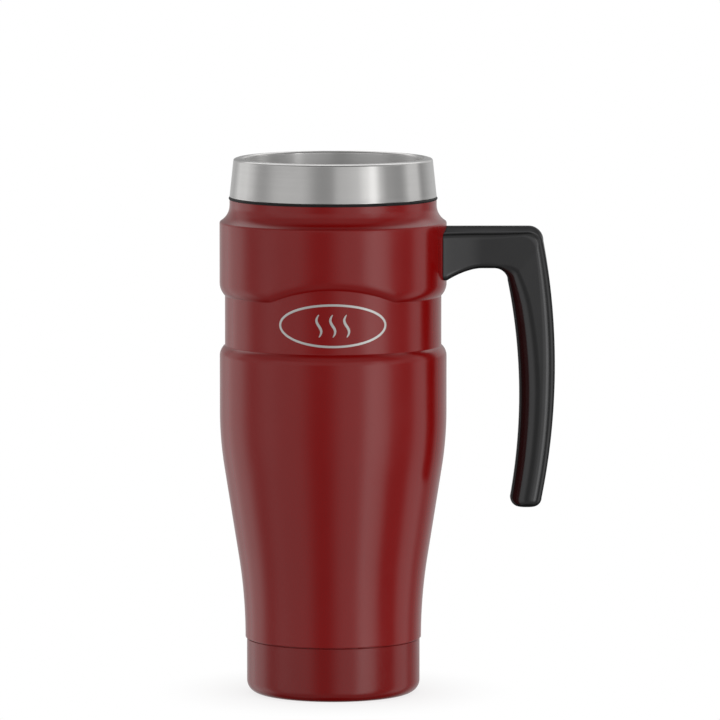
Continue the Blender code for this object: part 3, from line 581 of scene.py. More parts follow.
@dataclass
class Vessel(Assembly):
    """The painted shell and foot, and the steel liner."""

    palette: Palette
    flank_inset: float = 0.0096
    flank_height: float = 0.0866
    foot_share: float = 0.36
    shoulder_share: float = 0.25
    barrel_height: float = 0.0210
    ridge_step: float = 0.0041
    panel_step: float = 0.00485
    waist_inset: float = 0.0020
    waist_height: float = 0.01885
    neck_inset: float = 0.0038
    cove_radius: float = 0.0071
    neck_height: float = 0.0021
    ridge_crease: float = 0.0004
    panel_crease: float = 0.0005
    edge_radius: float = 0.0010
    lip_radius: float = 0.0004
    wall: float = 0.0006
    inside_stride: int = 6
    arch_rise: float = 0.00515
    arch_half_angle: float = math.radians(34.5)
    arch_ease: float = 0.10
    stamp: tuple[float, ...] = (0.0180, 0.0186, 0.0234, 0.0240)
    stamp_depth: float = 0.0006
    stamp_round: float = 0.0004
    base_floor: float = 0.0014
    foot_fillet: float = 0.0047
    foot_edge: float = 0.00028
    floor_fillet: float = 0.0020
    liner_inset: float = 0.0064
    liner_fillet: float = 0.0090
    rim_width: float = 0.0032
    rim_round: float = 0.0008
    rim_edge: float = 0.0018
    rim_flare: float = 0.0035
    rim_end: float = 0.0200
    thread_room: float = 0.0180
    thread: Thread = Thread(-0.0145, 0.0066, 1.5, 0.00050, 0.0014)
    lip_rows: int = 6
    flank_rows: int = 64
    roll_rows: int = 16
    ridge_rows: int = 7
    panel_rows: int = 9
    waist_rows: int = 14
    edge_rows: int = 8
    cove_rows: int = 20
    foot_steps: int = 12
    floor_rows: int = 4
    fillet_rows: int = 16
    liner_rows: int = 70
    thread_rows: int = 80
    rim_rows: int = 7
    back_rows: int = 12
    under_rows: int = 8
    columns: int = 360

    def __post_init__(self) -> None:
        """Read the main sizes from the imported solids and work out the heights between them."""
        low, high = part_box("outer_shell")
        self.body_radius = high.y
        self.foot_z = low.z
        self.rim_z = high.z
        self.foot_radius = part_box("base_cup")[1].y
        self.tongue_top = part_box("base_cup")[1].z
        self.liner_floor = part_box("inner_liner")[0].z
        self.flank_radius = self.body_radius - self.flank_inset
        self.waist_radius = self.body_radius - self.waist_inset
        self.neck_radius = self.body_radius - self.neck_inset
        self.mouth_radius = self.neck_radius - self.rim_width
        self.ridge_z = self.foot_z + self.flank_height + self.barrel_height
        self.panel_z = self.ridge_z + self.ridge_step + self.waist_height + self.panel_step
        self.angle = full_turn(self.columns)

    def flank(self, height: Array) -> Array:
        """Radius of the flank: its slope grows evenly over the foot share, holds, and fades at the shoulder.

        Args:
            height: heights above the floor.

        Returns:
            Outer radius at each height.
        """
        share = np.clip((height - self.foot_z) / self.flank_height, 0.0, 1.0)
        straight_end = 1 - self.shoulder_share
        slope = 2 / (1 + straight_end - self.foot_share)
        low = slope * share**2 / (2 * self.foot_share)
        straight = slope * (share - self.foot_share / 2)
        high = 1 - slope * (1 - share) ** 2 / (2 * self.shoulder_share)
        widened = np.where(share < self.foot_share, low, np.where(share < straight_end, straight, high))
        return self.flank_radius + self.flank_inset * widened

    def step(self, height: float, fillet: float) -> tuple[float, float, float]:
        """Rolled step between the waist and the barrel or panel, with a fillet in its crease.

        The roll is an arc that starts upright on the barrel or panel and reaches the waist after
        the step's height. The fillet touches both the roll and the waist.

        Args:
            height: height of the step.
            fillet: radius of the fillet.

        Returns:
            Radius of the roll, how far from its start the fillet's middle lies, and the angle on
            the roll where the two meet.
        """
        roll = (height**2 + self.waist_inset**2) / (2 * self.waist_inset)
        across = roll - self.waist_inset + fillet
        along = math.sqrt((roll + fillet) ** 2 - across**2)
        return roll, along, math.atan2(along, across)

    def outside(self) -> tuple[Array, Array]:
        """Outline of the shell's outside, and how far each of its points follows the arch.

        Two rolled steps frame the waist, and a small round joins the panel to the hollow of the neck.

        Returns:
            Outline of shape (rows, 2) and arch shares of shape (rows,).
        """
        ridge_roll, ridge_along, ridge_meet = self.step(self.ridge_step, self.ridge_crease)
        panel_roll, panel_along, panel_meet = self.step(self.panel_step, self.panel_crease)
        cove = (self.neck_radius + self.cove_radius, self.rim_z - self.neck_height)
        edge = self.body_radius - self.edge_radius
        edge_drop = math.sqrt((self.cove_radius + self.edge_radius) ** 2 - (cove[0] - edge) ** 2)
        edge_z = cove[1] - edge_drop
        lean = math.atan2(edge_drop, cove[0] - edge)
        lip = (self.flank_radius - self.lip_radius, self.foot_z + self.lip_radius)
        flank_z = (self.foot_z + 2 * self.lip_radius, self.foot_z + self.flank_height)
        heights = np.linspace(*flank_z, self.flank_rows)
        ridge = (self.body_radius - ridge_roll, self.ridge_z)
        panel = (self.body_radius - panel_roll, self.panel_z)
        ridge_fillet = (self.waist_radius + self.ridge_crease, self.ridge_z + ridge_along)
        panel_fillet = (self.waist_radius + self.panel_crease, self.panel_z - panel_along)
        waist = (self.waist_radius, ridge_fillet[1]), (self.waist_radius, panel_fillet[1])
        flat = (self.body_radius, self.panel_z), (self.body_radius, edge_z)
        neck = (self.neck_radius, cove[1]), (self.neck_radius, self.rim_z)
        runs = (
            (arc(lip, self.lip_radius, -QUARTER, 0.0, self.lip_rows), 0.0, 0.0),
            (np.column_stack((self.flank(heights), heights)), 0.0, 0.0),
            (arc(ridge, ridge_roll, 0.0, ridge_meet, self.roll_rows), 0.0, 0.0),
            (arc(ridge_fillet, self.ridge_crease, math.pi + ridge_meet, math.pi, self.ridge_rows), 0.0, 0.0),
            (np.linspace(*waist, self.waist_rows), 0.0, 1.0),
            (arc(panel_fillet, self.panel_crease, math.pi, math.pi - panel_meet, self.panel_rows), 1.0, 1.0),
            (arc(panel, panel_roll, -panel_meet, 0.0, self.roll_rows), 1.0, 1.0),
            (np.linspace(*flat, self.waist_rows), 1.0, 0.0),
            (arc((edge, edge_z), self.edge_radius, 0.0, lean, self.edge_rows), 0.0, 0.0),
            (arc(cove, self.cove_radius, math.pi + lean, math.pi, self.cove_rows), 0.0, 0.0),
            (np.asarray(neck), 0.0, 0.0),
        )
        outline = np.concatenate([points for points, _, _ in runs])
        shares = np.concatenate([np.linspace(start, end, len(points)) for points, start, end in runs])
        return outline, shares

    def arch(self) -> Array:
        """Rise of the arch round the turn: a parabola over its half angle, eased out at both feet.

        Returns:
            Rise at each column, shape (columns,).
        """
        from_front = np.mod(self.angle + QUARTER + math.pi, TAU) - math.pi
        bow = 1 - (from_front / self.arch_half_angle) ** 2
        return self.arch_rise * (bow + np.sqrt(bow**2 + self.arch_ease**2)) / 2

    def shell(self) -> Patch:
        """Shell wall: its outside turned round the axis and lifted by the arch, with a plain inside.

        Returns:
            The closed grid.
        """
        outline, shares = self.outside()
        back = slice(None, None, -self.inside_stride)
        rows = np.concatenate((outline, outline[back] - (self.wall, 0.0)))
        points = turned(spread(rows, self.angle), self.angle)
        points[..., 2] += np.concatenate((shares, shares[back]))[:, None] * self.arch()
        return Patch(points)

    def foot(self) -> Patch:
        """Foot cup: a turned wall with a round heel, a stamped ring below and a tongue in the shell.

        Returns:
            The closed grid.
        """
        top = self.foot_z - FIT
        tongue = self.flank_radius - self.wall - FIT
        inner = tongue - self.wall
        low, depth, stamp = 0.0, self.stamp_depth, self.stamp
        corners = (
            (0.0, low), (stamp[0], low), (stamp[1], depth), (stamp[2], depth), (stamp[3], low),
            (self.foot_radius, low), (self.foot_radius, top), (tongue, top), (tongue, self.tongue_top),
            (inner, self.tongue_top), (inner, self.base_floor), (0.0, self.base_floor),
        )
        stamped = (self.stamp_round,) * len(stamp)
        radii = (0, *stamped, self.foot_fillet, self.foot_edge, 0, 0, 0, self.floor_fillet, 0)
        return lathe(rounded(corners, radii, self.foot_steps), self.angle)

    def liner_side(self, heights: Array) -> Array:
        """Liner's inner radius: the flank's less an inset, and never more than the mouth's."""
        return np.minimum(self.mouth_radius, self.flank(heights) - self.liner_inset)

    def liner(self) -> Patch:
        """Liner: a round-floored cup that follows the flank, with a rolled rim and a thread in its mouth.

        Returns:
            The closed grid.
        """
        floor = self.liner_floor + self.wall
        corner = (self.flank_radius - self.liner_inset - self.liner_fillet, floor + self.liner_fillet)
        rim = self.neck_radius - self.wall - FIT
        roll = (self.mouth_radius + self.rim_round, self.rim_z - self.rim_round)
        thread_low = self.rim_z - self.thread_room
        heights = np.concatenate((np.linspace(corner[1], thread_low, self.liner_rows)[1:],
                                  np.linspace(thread_low, roll[1], self.thread_rows)[1:]))
        back = np.linspace(self.rim_z - self.rim_end, corner[1], self.back_rows)
        bowl = np.concatenate((np.linspace((0.0, floor), (corner[0], floor), self.floor_rows),
                               arc(corner, self.liner_fillet, -QUARTER, 0.0, self.fillet_rows)[1:]))
        wall = spread(np.column_stack((self.liner_side(heights), heights)), self.angle)
        wall[..., 0] -= self.thread.ridge(self.angle, wall[..., 1] - self.rim_z)
        outside = np.concatenate((
            arc(roll, self.rim_round, math.pi, QUARTER, self.rim_rows)[1:],
            ((rim, self.rim_z), (rim, self.rim_z - self.rim_edge)),
            ((self.mouth_radius + self.wall, self.rim_z - self.rim_flare),),
            np.column_stack((self.liner_side(back) + self.wall, back)),
            arc(corner, self.liner_fillet + self.wall, 0.0, -QUARTER, self.under_rows),
            ((0.0, self.liner_floor), (0.0, floor)),
        ))
        grid = np.concatenate((spread(bowl, self.angle), wall, spread(outside, self.angle)))
        return Patch(turned(grid, self.angle))

    def build(self) -> None:
        """Make the shell, the foot and the liner, and dress what the vacuum space holds."""
        self.piece("shell", Body.MUG, "red_paint", ("outer_shell",), self.shell())
        # the foot wears a darker copy of the shell's red paint, as painted shade near the floor
        self.piece("foot", Body.MUG, "foot_paint", ("base_cup",), self.foot())
        self.piece("liner", Body.MUG, "liner_steel", ("inner_liner",), self.liner())
        self.keep("liner_foil", "copper_foil")
        self.keep("vacuum_closure", "closure_steel")
        self.keep("vacuum_seal", "seal_glass")
        self.keep("getter", "getter_grey")


@dataclass
class Badge(Assembly):
    """A plain printed motif on the waist: an oval ring round three wisps of steam."""

    palette: Palette
    radius: float
    ridge_z: float
    rise: float = 0.01495
    half_length: float = 0.0205
    half_height: float = 0.0078
    ring_width: float = 0.00085
    wisp_width: float = 0.0010
    wisp_length: float = 0.0086
    wisp_sway: float = 0.0009
    wisp_spacing: float = 0.0052
    film: float = 0.00003
    lift: float = 0.00001
    section_steps: int = 12
    ring_points: int = 160
    wisp_points: int = 64

    def ribbon(self, path: Array, width: Array, closed: bool) -> Patch:
        """Thin film along a path on the unrolled waist, then wrapped round the axis.

        Across the path a flat oval section, width times (cos q, film sin q), is carried along it. A
        point s along the waist and h up it goes to the angle s over the radius from the front.

        Args:
            path: (along, up) points of the middle line, shape (points, 2).
            width: full width at each point.
            closed: whether the path returns to its start.

        Returns:
            The closed grid.
        """
        both_ways = np.roll(path, -1, axis=0) - np.roll(path, 1, axis=0)
        ahead = both_ways if closed else np.gradient(path, axis=0)
        ahead = ahead / np.linalg.norm(ahead, axis=1, keepdims=True)
        across = np.column_stack((-ahead[:, 1], ahead[:, 0]))
        q = full_turn(self.section_steps)
        flat = path[:, None, :] + across[:, None, :] * (width[:, None] / 2 * np.cos(q))[..., None]
        reach = self.radius + self.lift + self.film * (0.5 + 0.5 * np.sin(q))
        angle = flat[..., 0] / self.radius - QUARTER
        up = self.ridge_z + self.rise + flat[..., 1]
        return Patch(np.stack((reach * np.cos(angle), reach * np.sin(angle), up), axis=-1), rows_close=closed)

    def build(self) -> None:
        """Make the ring, an ellipse, and the wisps, each one swing of a sine that thins to its ends."""
        turn = full_turn(self.ring_points)
        oval = np.column_stack((self.half_length * np.cos(turn), self.half_height * np.sin(turn)))
        ring = self.ribbon(oval, np.full(len(oval), self.ring_width), closed=True)
        self.piece("badge_ring", Body.MUG, "red_paint", (), ring, finish="print_silver")
        share = np.linspace(0.0, 1.0, self.wisp_points)
        rise = (share - 0.5) * self.wisp_length
        sway = self.wisp_sway * np.sin(TAU * share)
        width = self.wisp_width * np.sqrt(np.clip(4 * share * (1 - share), 0.0, 1.0))
        wisps = [self.ribbon(np.column_stack((sway + place * self.wisp_spacing, rise)), width, closed=False)
                 for place in (-1, 0, 1)]
        self.piece("badge_wisps", Body.MUG, "red_paint", (), *wisps, finish="print_silver")


@dataclass
class Handle(Assembly):
    """The moulded handle, its two screws and the bracket inside it."""

    palette: Palette
    body_radius: float
    arm_depth: float = 0.01545
    grip_depth: float = 0.01355
    outer_arc: float = 0.256
    outer_drop: float = 0.05325
    inner_arc: float = 0.219
    inner_drop: float = 0.06465
    outer_corner: float = 0.0055
    finger_corner: float = 0.0053
    end_round: float = 0.0036
    flare_depth: float = 0.0045
    flare_length: float = 0.0130
    flare_start: float = 0.0012
    flare_power: float = 1.7
    foot_sink: float = 0.12
    arm_width: float = 0.0205
    end_width: float = 0.0170
    arm_crown: float = 0.0022
    grip_crown: float = 0.00025
    crown_round: float = 0.021
    rounds_share: float = 0.94
    seat_gap: float = 0.00003
    arm_top_round: float = 0.0030
    arm_under_round: float = 0.0026
    grip_back_round: float = 0.0047
    grip_front_round: float = 0.0078
    back_closing: float = 0.6
    front_closing: float = 0.7
    flare_rows: int = 40
    run_rows: int = 11
    bend_rows: int = 19
    ease_rows: int = 30
    grip_rows: int = 71
    end_rows: int = 13
    section_steps: int = 12
    screw_head: float = 0.0027
    screw_shank: float = 0.0015
    screw_point: float = 0.0004
    head_height: float = 0.0020
    head_round: float = 0.0005
    socket_half_width: float = 0.0010
    socket_depth: float = 0.0012
    socket_edge: float = 0.0001
    hole_reach: float = 0.0200
    head_rows: int = 6
    screw_columns: int = 48

    def __post_init__(self) -> None:
        """Read the handle's reach and the screws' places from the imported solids."""
        low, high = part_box("handle")
        self.top = high.z
        self.end = low.z
        self.back = high.x
        self.foot_width = high.y - low.y
        self.underside = self.top - self.arm_depth
        self.screws = {name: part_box(f"handle_screw_{name}") for name in ("inner", "outer")}

    def back_x(self, height: Value) -> Value:
        """Outer curve of the grip: a long arc that is widest one drop below the top."""
        off = height - (self.top - self.outer_drop)
        return self.back - self.outer_arc + np.sqrt(self.outer_arc**2 - off**2)

    def front_x(self, height: Value) -> Value:
        """Finger side of the grip: a long arc, one grip's depth inside the outer one at its middle."""
        off = height - (self.top - self.inner_drop)
        return self.back - self.grip_depth - self.inner_arc + np.sqrt(self.inner_arc**2 - off**2)

    def under_z(self, x: Array) -> Array:
        """Underside of the arm: level, and flared down to the body as a power of the share left."""
        share = np.clip((x - self.body_radius) / self.flare_length, 0.0, 1.0)
        return self.underside - self.flare_depth * (1 - share) ** self.flare_power

    def stations(self) -> tuple[Array, Array, Array, Array]:
        """Row of cross-sections from the body along the arm, round the bend, down the grip and over its end.

        The sections stand closest at the body, by the square of their share of the flare. Down the
        grip the outer edge starts higher than the inner one and comes level with it by the cube of
        the share left. The end follows quarter circles.

        Returns:
            Outer edges and inner edges as (x, z), shape (stations, 2), full widths, and the crown,
            the outer round and the inner round of each section, shape (stations, 3).
        """
        arm_end = self.body_radius + self.flare_length
        sunk = between(-self.foot_sink, 1.0, np.linspace(0.0, 1.0, self.flare_rows) ** 2)
        near = self.body_radius + self.flare_length * sunk
        share = np.linspace(0.0, 1.0, self.grip_rows + 1)[1:]
        back_low, front_low = self.top - self.outer_corner, self.underside - self.finger_corner
        tip = self.end + self.end_round
        front_z = between(front_low, tip, share)
        back_z = front_z + (back_low - front_low) * (1 - share) ** 3
        edges = []
        for level, curve, low, z, corner, side in (
            (np.full_like(near, self.top), self.back_x, back_low, back_z, self.outer_corner, -1),
            (self.under_z(near), self.front_x, front_low, front_z, self.finger_corner, 1),
        ):
            bend = (curve(low) - corner, low)
            rounding = (curve(tip) + side * self.end_round, tip)
            out = math.pi if side > 0 else 0.0
            edges.append(np.concatenate((
                np.column_stack((near, level)),
                np.linspace((arm_end, level[-1]), (bend[0], level[-1]), self.run_rows + 1)[1:],
                arc(bend, corner, QUARTER, 0.0, self.bend_rows + 1)[1:],
                np.column_stack((curve(z), z)),
                arc(rounding, self.end_round, out, out + side * QUARTER, self.end_rows + 1)[1:],
            )))
        outer, inner = edges
        row = np.arange(len(outer))
        bent = smooth((row - self.flare_rows - self.run_rows + 1) / self.ease_rows)
        closing = np.clip((row - len(outer) + 1) / self.end_rows + 1, 0.0, 1.0)
        flare = np.clip((arm_end - near) / (self.flare_length + self.flare_start), 0.0, 1.0) ** 2
        drawn_in = 1 - np.cos(QUARTER * closing[-self.end_rows:])
        width = np.concatenate((
            between(self.arm_width, self.foot_width, flare),
            np.full(self.run_rows + self.bend_rows, self.arm_width),
            between(self.arm_width, self.end_width, share),
            self.end_width - 2 * self.end_round * drawn_in,
        ))
        rounds = np.column_stack((
            between(self.arm_crown, self.grip_crown, bent),
            between(self.arm_top_round, self.grip_back_round, bent) * (1 - self.back_closing * closing),
            between(self.arm_under_round, self.grip_front_round, bent) * (1 - self.front_closing * closing),
        ))
        return outer, inner, width, rounds

    def grip(self) -> Patch:
        """Handle's skin: a round-cornered section carried along the stations, closed at both ends.

        Each section lies in the plane of its outer and inner edge and of Y, and its outer side rises
        to a crown in the middle. The crown's corner is lifted by as much as its round takes off, the
        smaller root of lift = bend (crown + lift) squared. Points that would enter the shell are set
        on a cylinder just outside it.

        Returns:
            The closed grid.
        """
        outer, inner, width, rounds = self.stations()
        depth = np.linalg.norm(inner - outer, axis=1)
        half = width / 2
        crown, outer_round, inner_round = rounds.T
        bend = self.crown_round / (2 * half**2)
        lift = ((1 - 2 * bend * crown) - np.sqrt(1 - 4 * bend * crown)) / (2 * bend)
        corners = np.stack((np.column_stack((-lift, crown, depth, depth, crown)),
                            np.column_stack((0 * half, half, half, -half, -half))), axis=-1)
        room = np.minimum(1.0, self.rounds_share * (depth - crown) / (outer_round + inner_round))
        outer_round, inner_round = outer_round * room, inner_round * room
        top_round = np.full_like(depth, self.crown_round)
        radii = np.column_stack((top_round, outer_round, inner_round, inner_round, outer_round))
        section = rounded(corners, radii, self.section_steps)
        along = ((inner - outer) / depth[:, None])[:, None, :]
        flat = outer[:, None, :] + along * section[..., :1]
        points = np.stack((flat[..., 0], section[..., 1], flat[..., 1]), axis=-1)
        caps = points[[0, -1]].mean(axis=1, keepdims=True).repeat(points.shape[1], axis=1)
        points = np.concatenate((caps[:1], points, caps[1:]))
        seat = np.sqrt((self.body_radius + self.seat_gap) ** 2 - points[..., 1] ** 2)
        points[..., 0] = np.maximum(points[..., 0], seat)
        return Patch(points, rows_close=False)

    def screw(self, low: Vector, high: Vector) -> Patch:
        """Screw with its head below: a turned outline with a hexagon socket sunk into the head.

        Args:
            low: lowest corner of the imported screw.
            high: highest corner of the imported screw.

        Returns:
            The closed grid.
        """
        angle = full_turn(self.screw_columns)
        base, tip = low.z, high.z
        neck, floor = base + self.head_height, base + self.socket_depth
        edge = (self.screw_head - self.head_round, base + self.head_round)
        flats = hexagon(self.socket_half_width, angle)
        socket = hoops(angle, (0.0, floor), (flats, floor), (flats, base + self.socket_edge),
                       (flats + self.socket_edge, base))
        outline = np.concatenate((
            arc(edge, self.head_round, -QUARTER, 0.0, self.head_rows),
            ((self.screw_head, neck), (self.screw_shank, neck), (self.screw_shank, tip - self.screw_point)),
            ((self.screw_shank - self.screw_point, tip), (0.0, tip)),
        ))
        points = turned(np.concatenate((socket, spread(outline, angle))), angle)
        points[..., 0] += (low.x + high.x) / 2
        return Patch(points, rows_close=False)

    def hole(self, low: Vector, high: Vector) -> Patch:
        """Stepped hole for a screw, open below: a turned outline one fit larger than the screw.

        Args:
            low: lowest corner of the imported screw.
            high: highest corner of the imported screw.

        Returns:
            The closed grid.
        """
        head, shank = self.screw_head + FIT, self.screw_shank + FIT
        start, deep, end = low.z - self.hole_reach, low.z + self.head_height + FIT, high.z + FIT
        outline = ((0.0, start), (head, start), (head, deep), (shank, deep), (shank, end), (0.0, end))
        patch = lathe(outline, full_turn(self.screw_columns))
        patch.points[..., 0] += (low.x + high.x) / 2
        return patch

    def build(self) -> None:
        """Make the handle with its screw holes, and the screws, and dress the bracket."""
        grip = self.piece("grip", Body.MUG, "handle_plastic", ("handle",), self.grip())
        cut(grip, [make_mesh(f"hole_{name}", self.hole(*box)) for name, box in self.screws.items()])
        for name, box in self.screws.items():
            self.piece(f"screw_{name}", Body.MUG, "screw_steel", (f"handle_screw_{name}",), self.screw(*box))
        self.keep("handle_bracket", "bracket_steel")


@dataclass
class Lid(Assembly):
    """The lid's steel band, gasket, collar and ported core, with heights counted from the band's foot."""

    palette: Palette
    sheet: float = 0.0007
    taper: float = 0.00145
    lip_width: float = 0.0037
    lip_crown: float = 0.00636
    lip_corner: float = 0.0008
    lip_inner: float = 0.0010
    well_draft: float = 0.0009
    squeeze: float = 0.0001
    gasket_rounds: tuple[float, ...] = (0.0002, 0.00035, 0.00035, 0.0002)
    floor_top: float = 0.0040
    floor_wall: float = 0.0030
    flange_wall: float = 0.0020
    plug_depth: float = 0.0210
    plug_radius: float = 0.0346
    plug_round: float = 0.0010
    skirt_wall: float = 0.0024
    skirt_round: float = 0.0008
    core_edge: float = 0.0003
    core_draft: float = 0.0002
    core_root: float = 0.0004
    thread: Thread = Thread(-0.0165, 0.0066, 1.6, 0.00065, 0.0014)
    thread_gap: float = 0.0008
    hub_half_width: float = 0.0066
    hub_end: float = -0.0100
    bore: float = 0.0044
    port_inner: float = 0.0223
    port_outer: float = 0.0273
    port_count: int = 6
    port_angle: float = math.radians(38)
    port_edge: float = 0.0005
    hem_rows: int = 7
    band_rows: int = 10
    corner_rows: int = 18
    crown_rows: int = 14
    inner_rows: int = 20
    inner_under_rows: int = 9
    under_rows: int = 6
    well_rows: int = 8
    back_rows: int = 4
    gasket_steps: int = 7
    thread_rows: int = 90
    flange_rows: int = 3
    skirt_rows: int = 4
    skirt_end_rows: int = 7
    plug_end_rows: int = 8
    port_edge_rows: int = 5
    port_columns: int = 10
    port_end_columns: int = 16
    spoke_columns: int = 8
    hub_columns: int = 96
    columns: int = 360

    def __post_init__(self) -> None:
        """Read the lid's place and the band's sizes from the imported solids, and work out the lip's rounds."""
        low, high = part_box("lid_band")
        self.base = low.z
        self.height = high.z - low.z
        self.band_foot = high.y
        self.band_top = self.band_foot - self.taper
        self.well = self.band_top - self.lip_width
        self.floor_low = self.floor_top - self.floor_wall
        across = self.lip_width - self.lip_inner - self.lip_corner
        self.crown_end = math.acos(across / (self.lip_crown - self.lip_corner))
        drop = self.lip_crown - (self.lip_crown - self.lip_corner) * math.sin(self.crown_end)
        self.corner = (self.band_top - self.lip_corner, self.height - drop)
        self.lean = math.atan(self.taper / self.corner[1])
        self.lip_start = arc(self.corner, self.lip_corner, self.lean, self.lean, 1)[0]
        self.angle = full_turn(self.columns)

    def raised(self, *runs: Array) -> Patch:
        """Turn an outline made of runs of points round the axis, at the lid's height."""
        return lathe(np.concatenate(runs) + (0.0, self.base), self.angle)

    def band(self) -> Patch:
        """Band: a thin tapered wall with a round hem, up to where the lip starts.

        Returns:
            The closed grid.
        """
        hem = self.sheet / 2
        foot = (self.band_foot - math.tan(self.lean) * self.sheet, self.sheet)
        inside = (self.band_foot - self.sheet, hem)
        return self.raised(
            arc((self.band_foot - hem, hem), hem, -QUARTER, self.lean, self.hem_rows),
            np.linspace(foot, self.lip_start, self.band_rows),
            np.linspace(self.lip_start - (self.sheet, 0.0), inside, self.back_rows),
        )

    def lip(self) -> Patch:
        """Lip: a tight outer corner, a crowned top and an inner round, bent from one sheet.

        The three rounds touch each other, and the crown's middle stands right under the lip's top.

        Returns:
            The closed grid.
        """
        inner = (self.well + self.lip_inner, self.height - self.lip_inner)
        crown = (inner[0], self.height - self.lip_crown)
        return self.raised(
            arc(self.corner, self.lip_corner, self.lean, self.crown_end, self.corner_rows),
            arc(crown, self.lip_crown, self.crown_end, QUARTER, self.crown_rows)[1:],
            arc(inner, self.lip_inner, QUARTER, math.pi, self.inner_rows)[1:],
            arc(inner, self.lip_inner - self.sheet, math.pi, QUARTER, self.inner_under_rows),
            arc(crown, self.lip_crown - self.sheet, QUARTER, self.crown_end, self.under_rows)[1:],
            arc(self.corner, self.lip_corner - self.sheet, self.crown_end, self.lean, self.under_rows)[1:],
        )

    def well_wall(self) -> Patch:
        """Wall of the well: a thin sheet from the lip down to the floor, drawn in by its draft.

        Returns:
            The closed grid.
        """
        top, end = self.height - self.lip_inner, self.floor_top + FIT
        foot = self.well - self.well_draft
        return self.raised(
            np.linspace((self.well, top), (foot, end), self.well_rows),
            np.linspace((foot + self.sheet, end), (self.well + self.sheet, top), self.back_rows),
        )

    def gasket(self) -> Patch:
        """Gasket: a flat ring with a round outer edge that bulges a little past the neck.

        Returns:
            The closed grid.
        """
        low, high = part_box("lid_gasket")
        inner = self.plug_radius + FIT
        bottom, top = low.z - self.squeeze, high.z + self.squeeze
        corners = ring(inner, high.y, bottom, top)
        return lathe(rounded(corners, self.gasket_rounds, self.gasket_steps), self.angle)

    def floor(self) -> tuple[Patch, ...]:
        """Well floor in two rings that meet in the spokes and part round the ports.

        The line between them splits into two edges round each port, at plus and minus h(s) from the
        middle radius, where s is the way along from the port's middle: h is half the port's width,
        and falls as a quarter circle to nothing at its round ends. The edges are eased by a small
        round that shrinks with h.

        Returns:
            The inner and the outer ring.
        """
        middle, half = (self.port_inner + self.port_outer) / 2, (self.port_outer - self.port_inner) / 2
        reach, pitch = middle * self.port_angle / 2, middle * math.pi / self.port_count
        straight = reach - half
        port_end = straight + half * np.sin(np.linspace(0.0, QUARTER, self.port_end_columns))
        spoke = np.linspace(reach, pitch, self.spoke_columns)[1:-1]
        one_side = np.concatenate((np.linspace(0.0, straight, self.port_columns)[:-1], port_end, spoke))
        along = np.concatenate((-one_side[:0:-1], one_side))
        gap = np.sqrt(np.clip(half**2 - np.clip(np.abs(along) - straight, 0.0, None) ** 2, 0.0, None))
        gap = np.tile(np.where(np.abs(along) >= reach - WELD, 0.0, gap), self.port_count)
        first = TAU * (np.arange(self.port_count) + 0.5) / self.port_count
        angle = (first[:, None] + along / middle).ravel()
        ease = np.minimum(self.port_edge, gap / 2)
        top, low = self.floor_top, self.floor_low
        rings = []
        for side, end in ((-1.0, self.bore), (1.0, self.well + self.sheet)):
            edge = middle + side * gap
            eased = [(edge + side * ease * (1 - math.cos(turn)), top - ease * (1 - math.sin(turn)))
                     for turn in np.linspace(0.0, QUARTER, self.port_edge_rows)]
            level = (edge + side * (ease + FIT), top)
            grid = hoops(angle, (edge, low), *eased, level, (end, top), (end, low))
            rings.append(Patch(turned(grid + (0.0, self.base), angle)))
        return tuple(rings)

    def plug(self) -> Patch:
        """Plug: a skirt with a screw ridge outside, below a flange that closes the band.

        Returns:
            The closed grid.
        """
        low, end = self.floor_low, -self.plug_depth
        skirt = self.plug_radius - self.skirt_wall
        flange = self.band_foot - self.sheet - FIT
        seat = self.well + self.sheet
        skirt_end = (skirt + self.skirt_round, end + self.skirt_round)
        plug_end = (self.plug_radius - self.plug_round, end + self.plug_round)
        heights = np.linspace(end + self.plug_round, -self.thread_gap, self.thread_rows)
        side = hoops(self.angle, *((self.plug_radius, height) for height in heights))
        side[..., 0] += self.thread.ridge(self.angle, side[..., 1])
        rest = np.concatenate((
            np.linspace((self.plug_radius, 0.0), (flange - self.core_edge, 0.0), self.flange_rows),
            ((flange, self.core_edge), (flange - self.core_draft, self.flange_wall)),
            ((seat, self.flange_wall), (seat, self.floor_top), (seat - self.core_draft, low), (skirt, low)),
            np.linspace((skirt, low - self.core_root), (skirt, end + self.plug_round), self.skirt_rows),
            arc(skirt_end, self.skirt_round, math.pi, 3 * QUARTER, self.skirt_end_rows)[1:],
            arc(plug_end, self.plug_round, -QUARTER, 0.0, self.plug_end_rows)[:-1],
        ))
        grid = np.concatenate((side, spread(rest, self.angle)))
        return Patch(turned(grid + (0.0, self.base), self.angle))

    def hub(self) -> Patch:
        """Hub: a hexagon outside and a round bore inside, hung under the floor.

        Returns:
            The closed grid.
        """
        angle = full_turn(self.hub_columns)
        flats = hexagon(self.hub_half_width, angle)
        top, end, edge = self.floor_low, self.hub_end, self.core_edge
        grid = hoops(angle, (self.bore, top), (self.bore, end), (flats - edge, end), (flats, end + edge),
                     (flats, top))
        return Patch(turned(grid + (0.0, self.base), angle))

    def build(self) -> None:
        """Make the band, the gasket and the core, and dress the collar."""
        self.piece("rim_band", Body.LID, "band_steel", ("lid_band",), self.band())
        self.piece("rim_lip", Body.LID, "band_steel", ("lid_band",), self.lip(), finish="lip_steel")
        # the well wall wears a lighter shade of the band's steel, as painted light inside the well
        self.piece("rim_well", Body.LID, "band_steel", ("lid_band",), self.well_wall(), finish="well_steel_painted_light")
        self.piece("rim_gasket", Body.GASKET, "gasket_rubber", ("lid_gasket",), self.gasket())
        self.piece("core", Body.LID, "lid_plastic", ("lid_core",), *self.floor(), self.plug(), self.hub())
        self.keep("lid_collar", "collar_plastic")


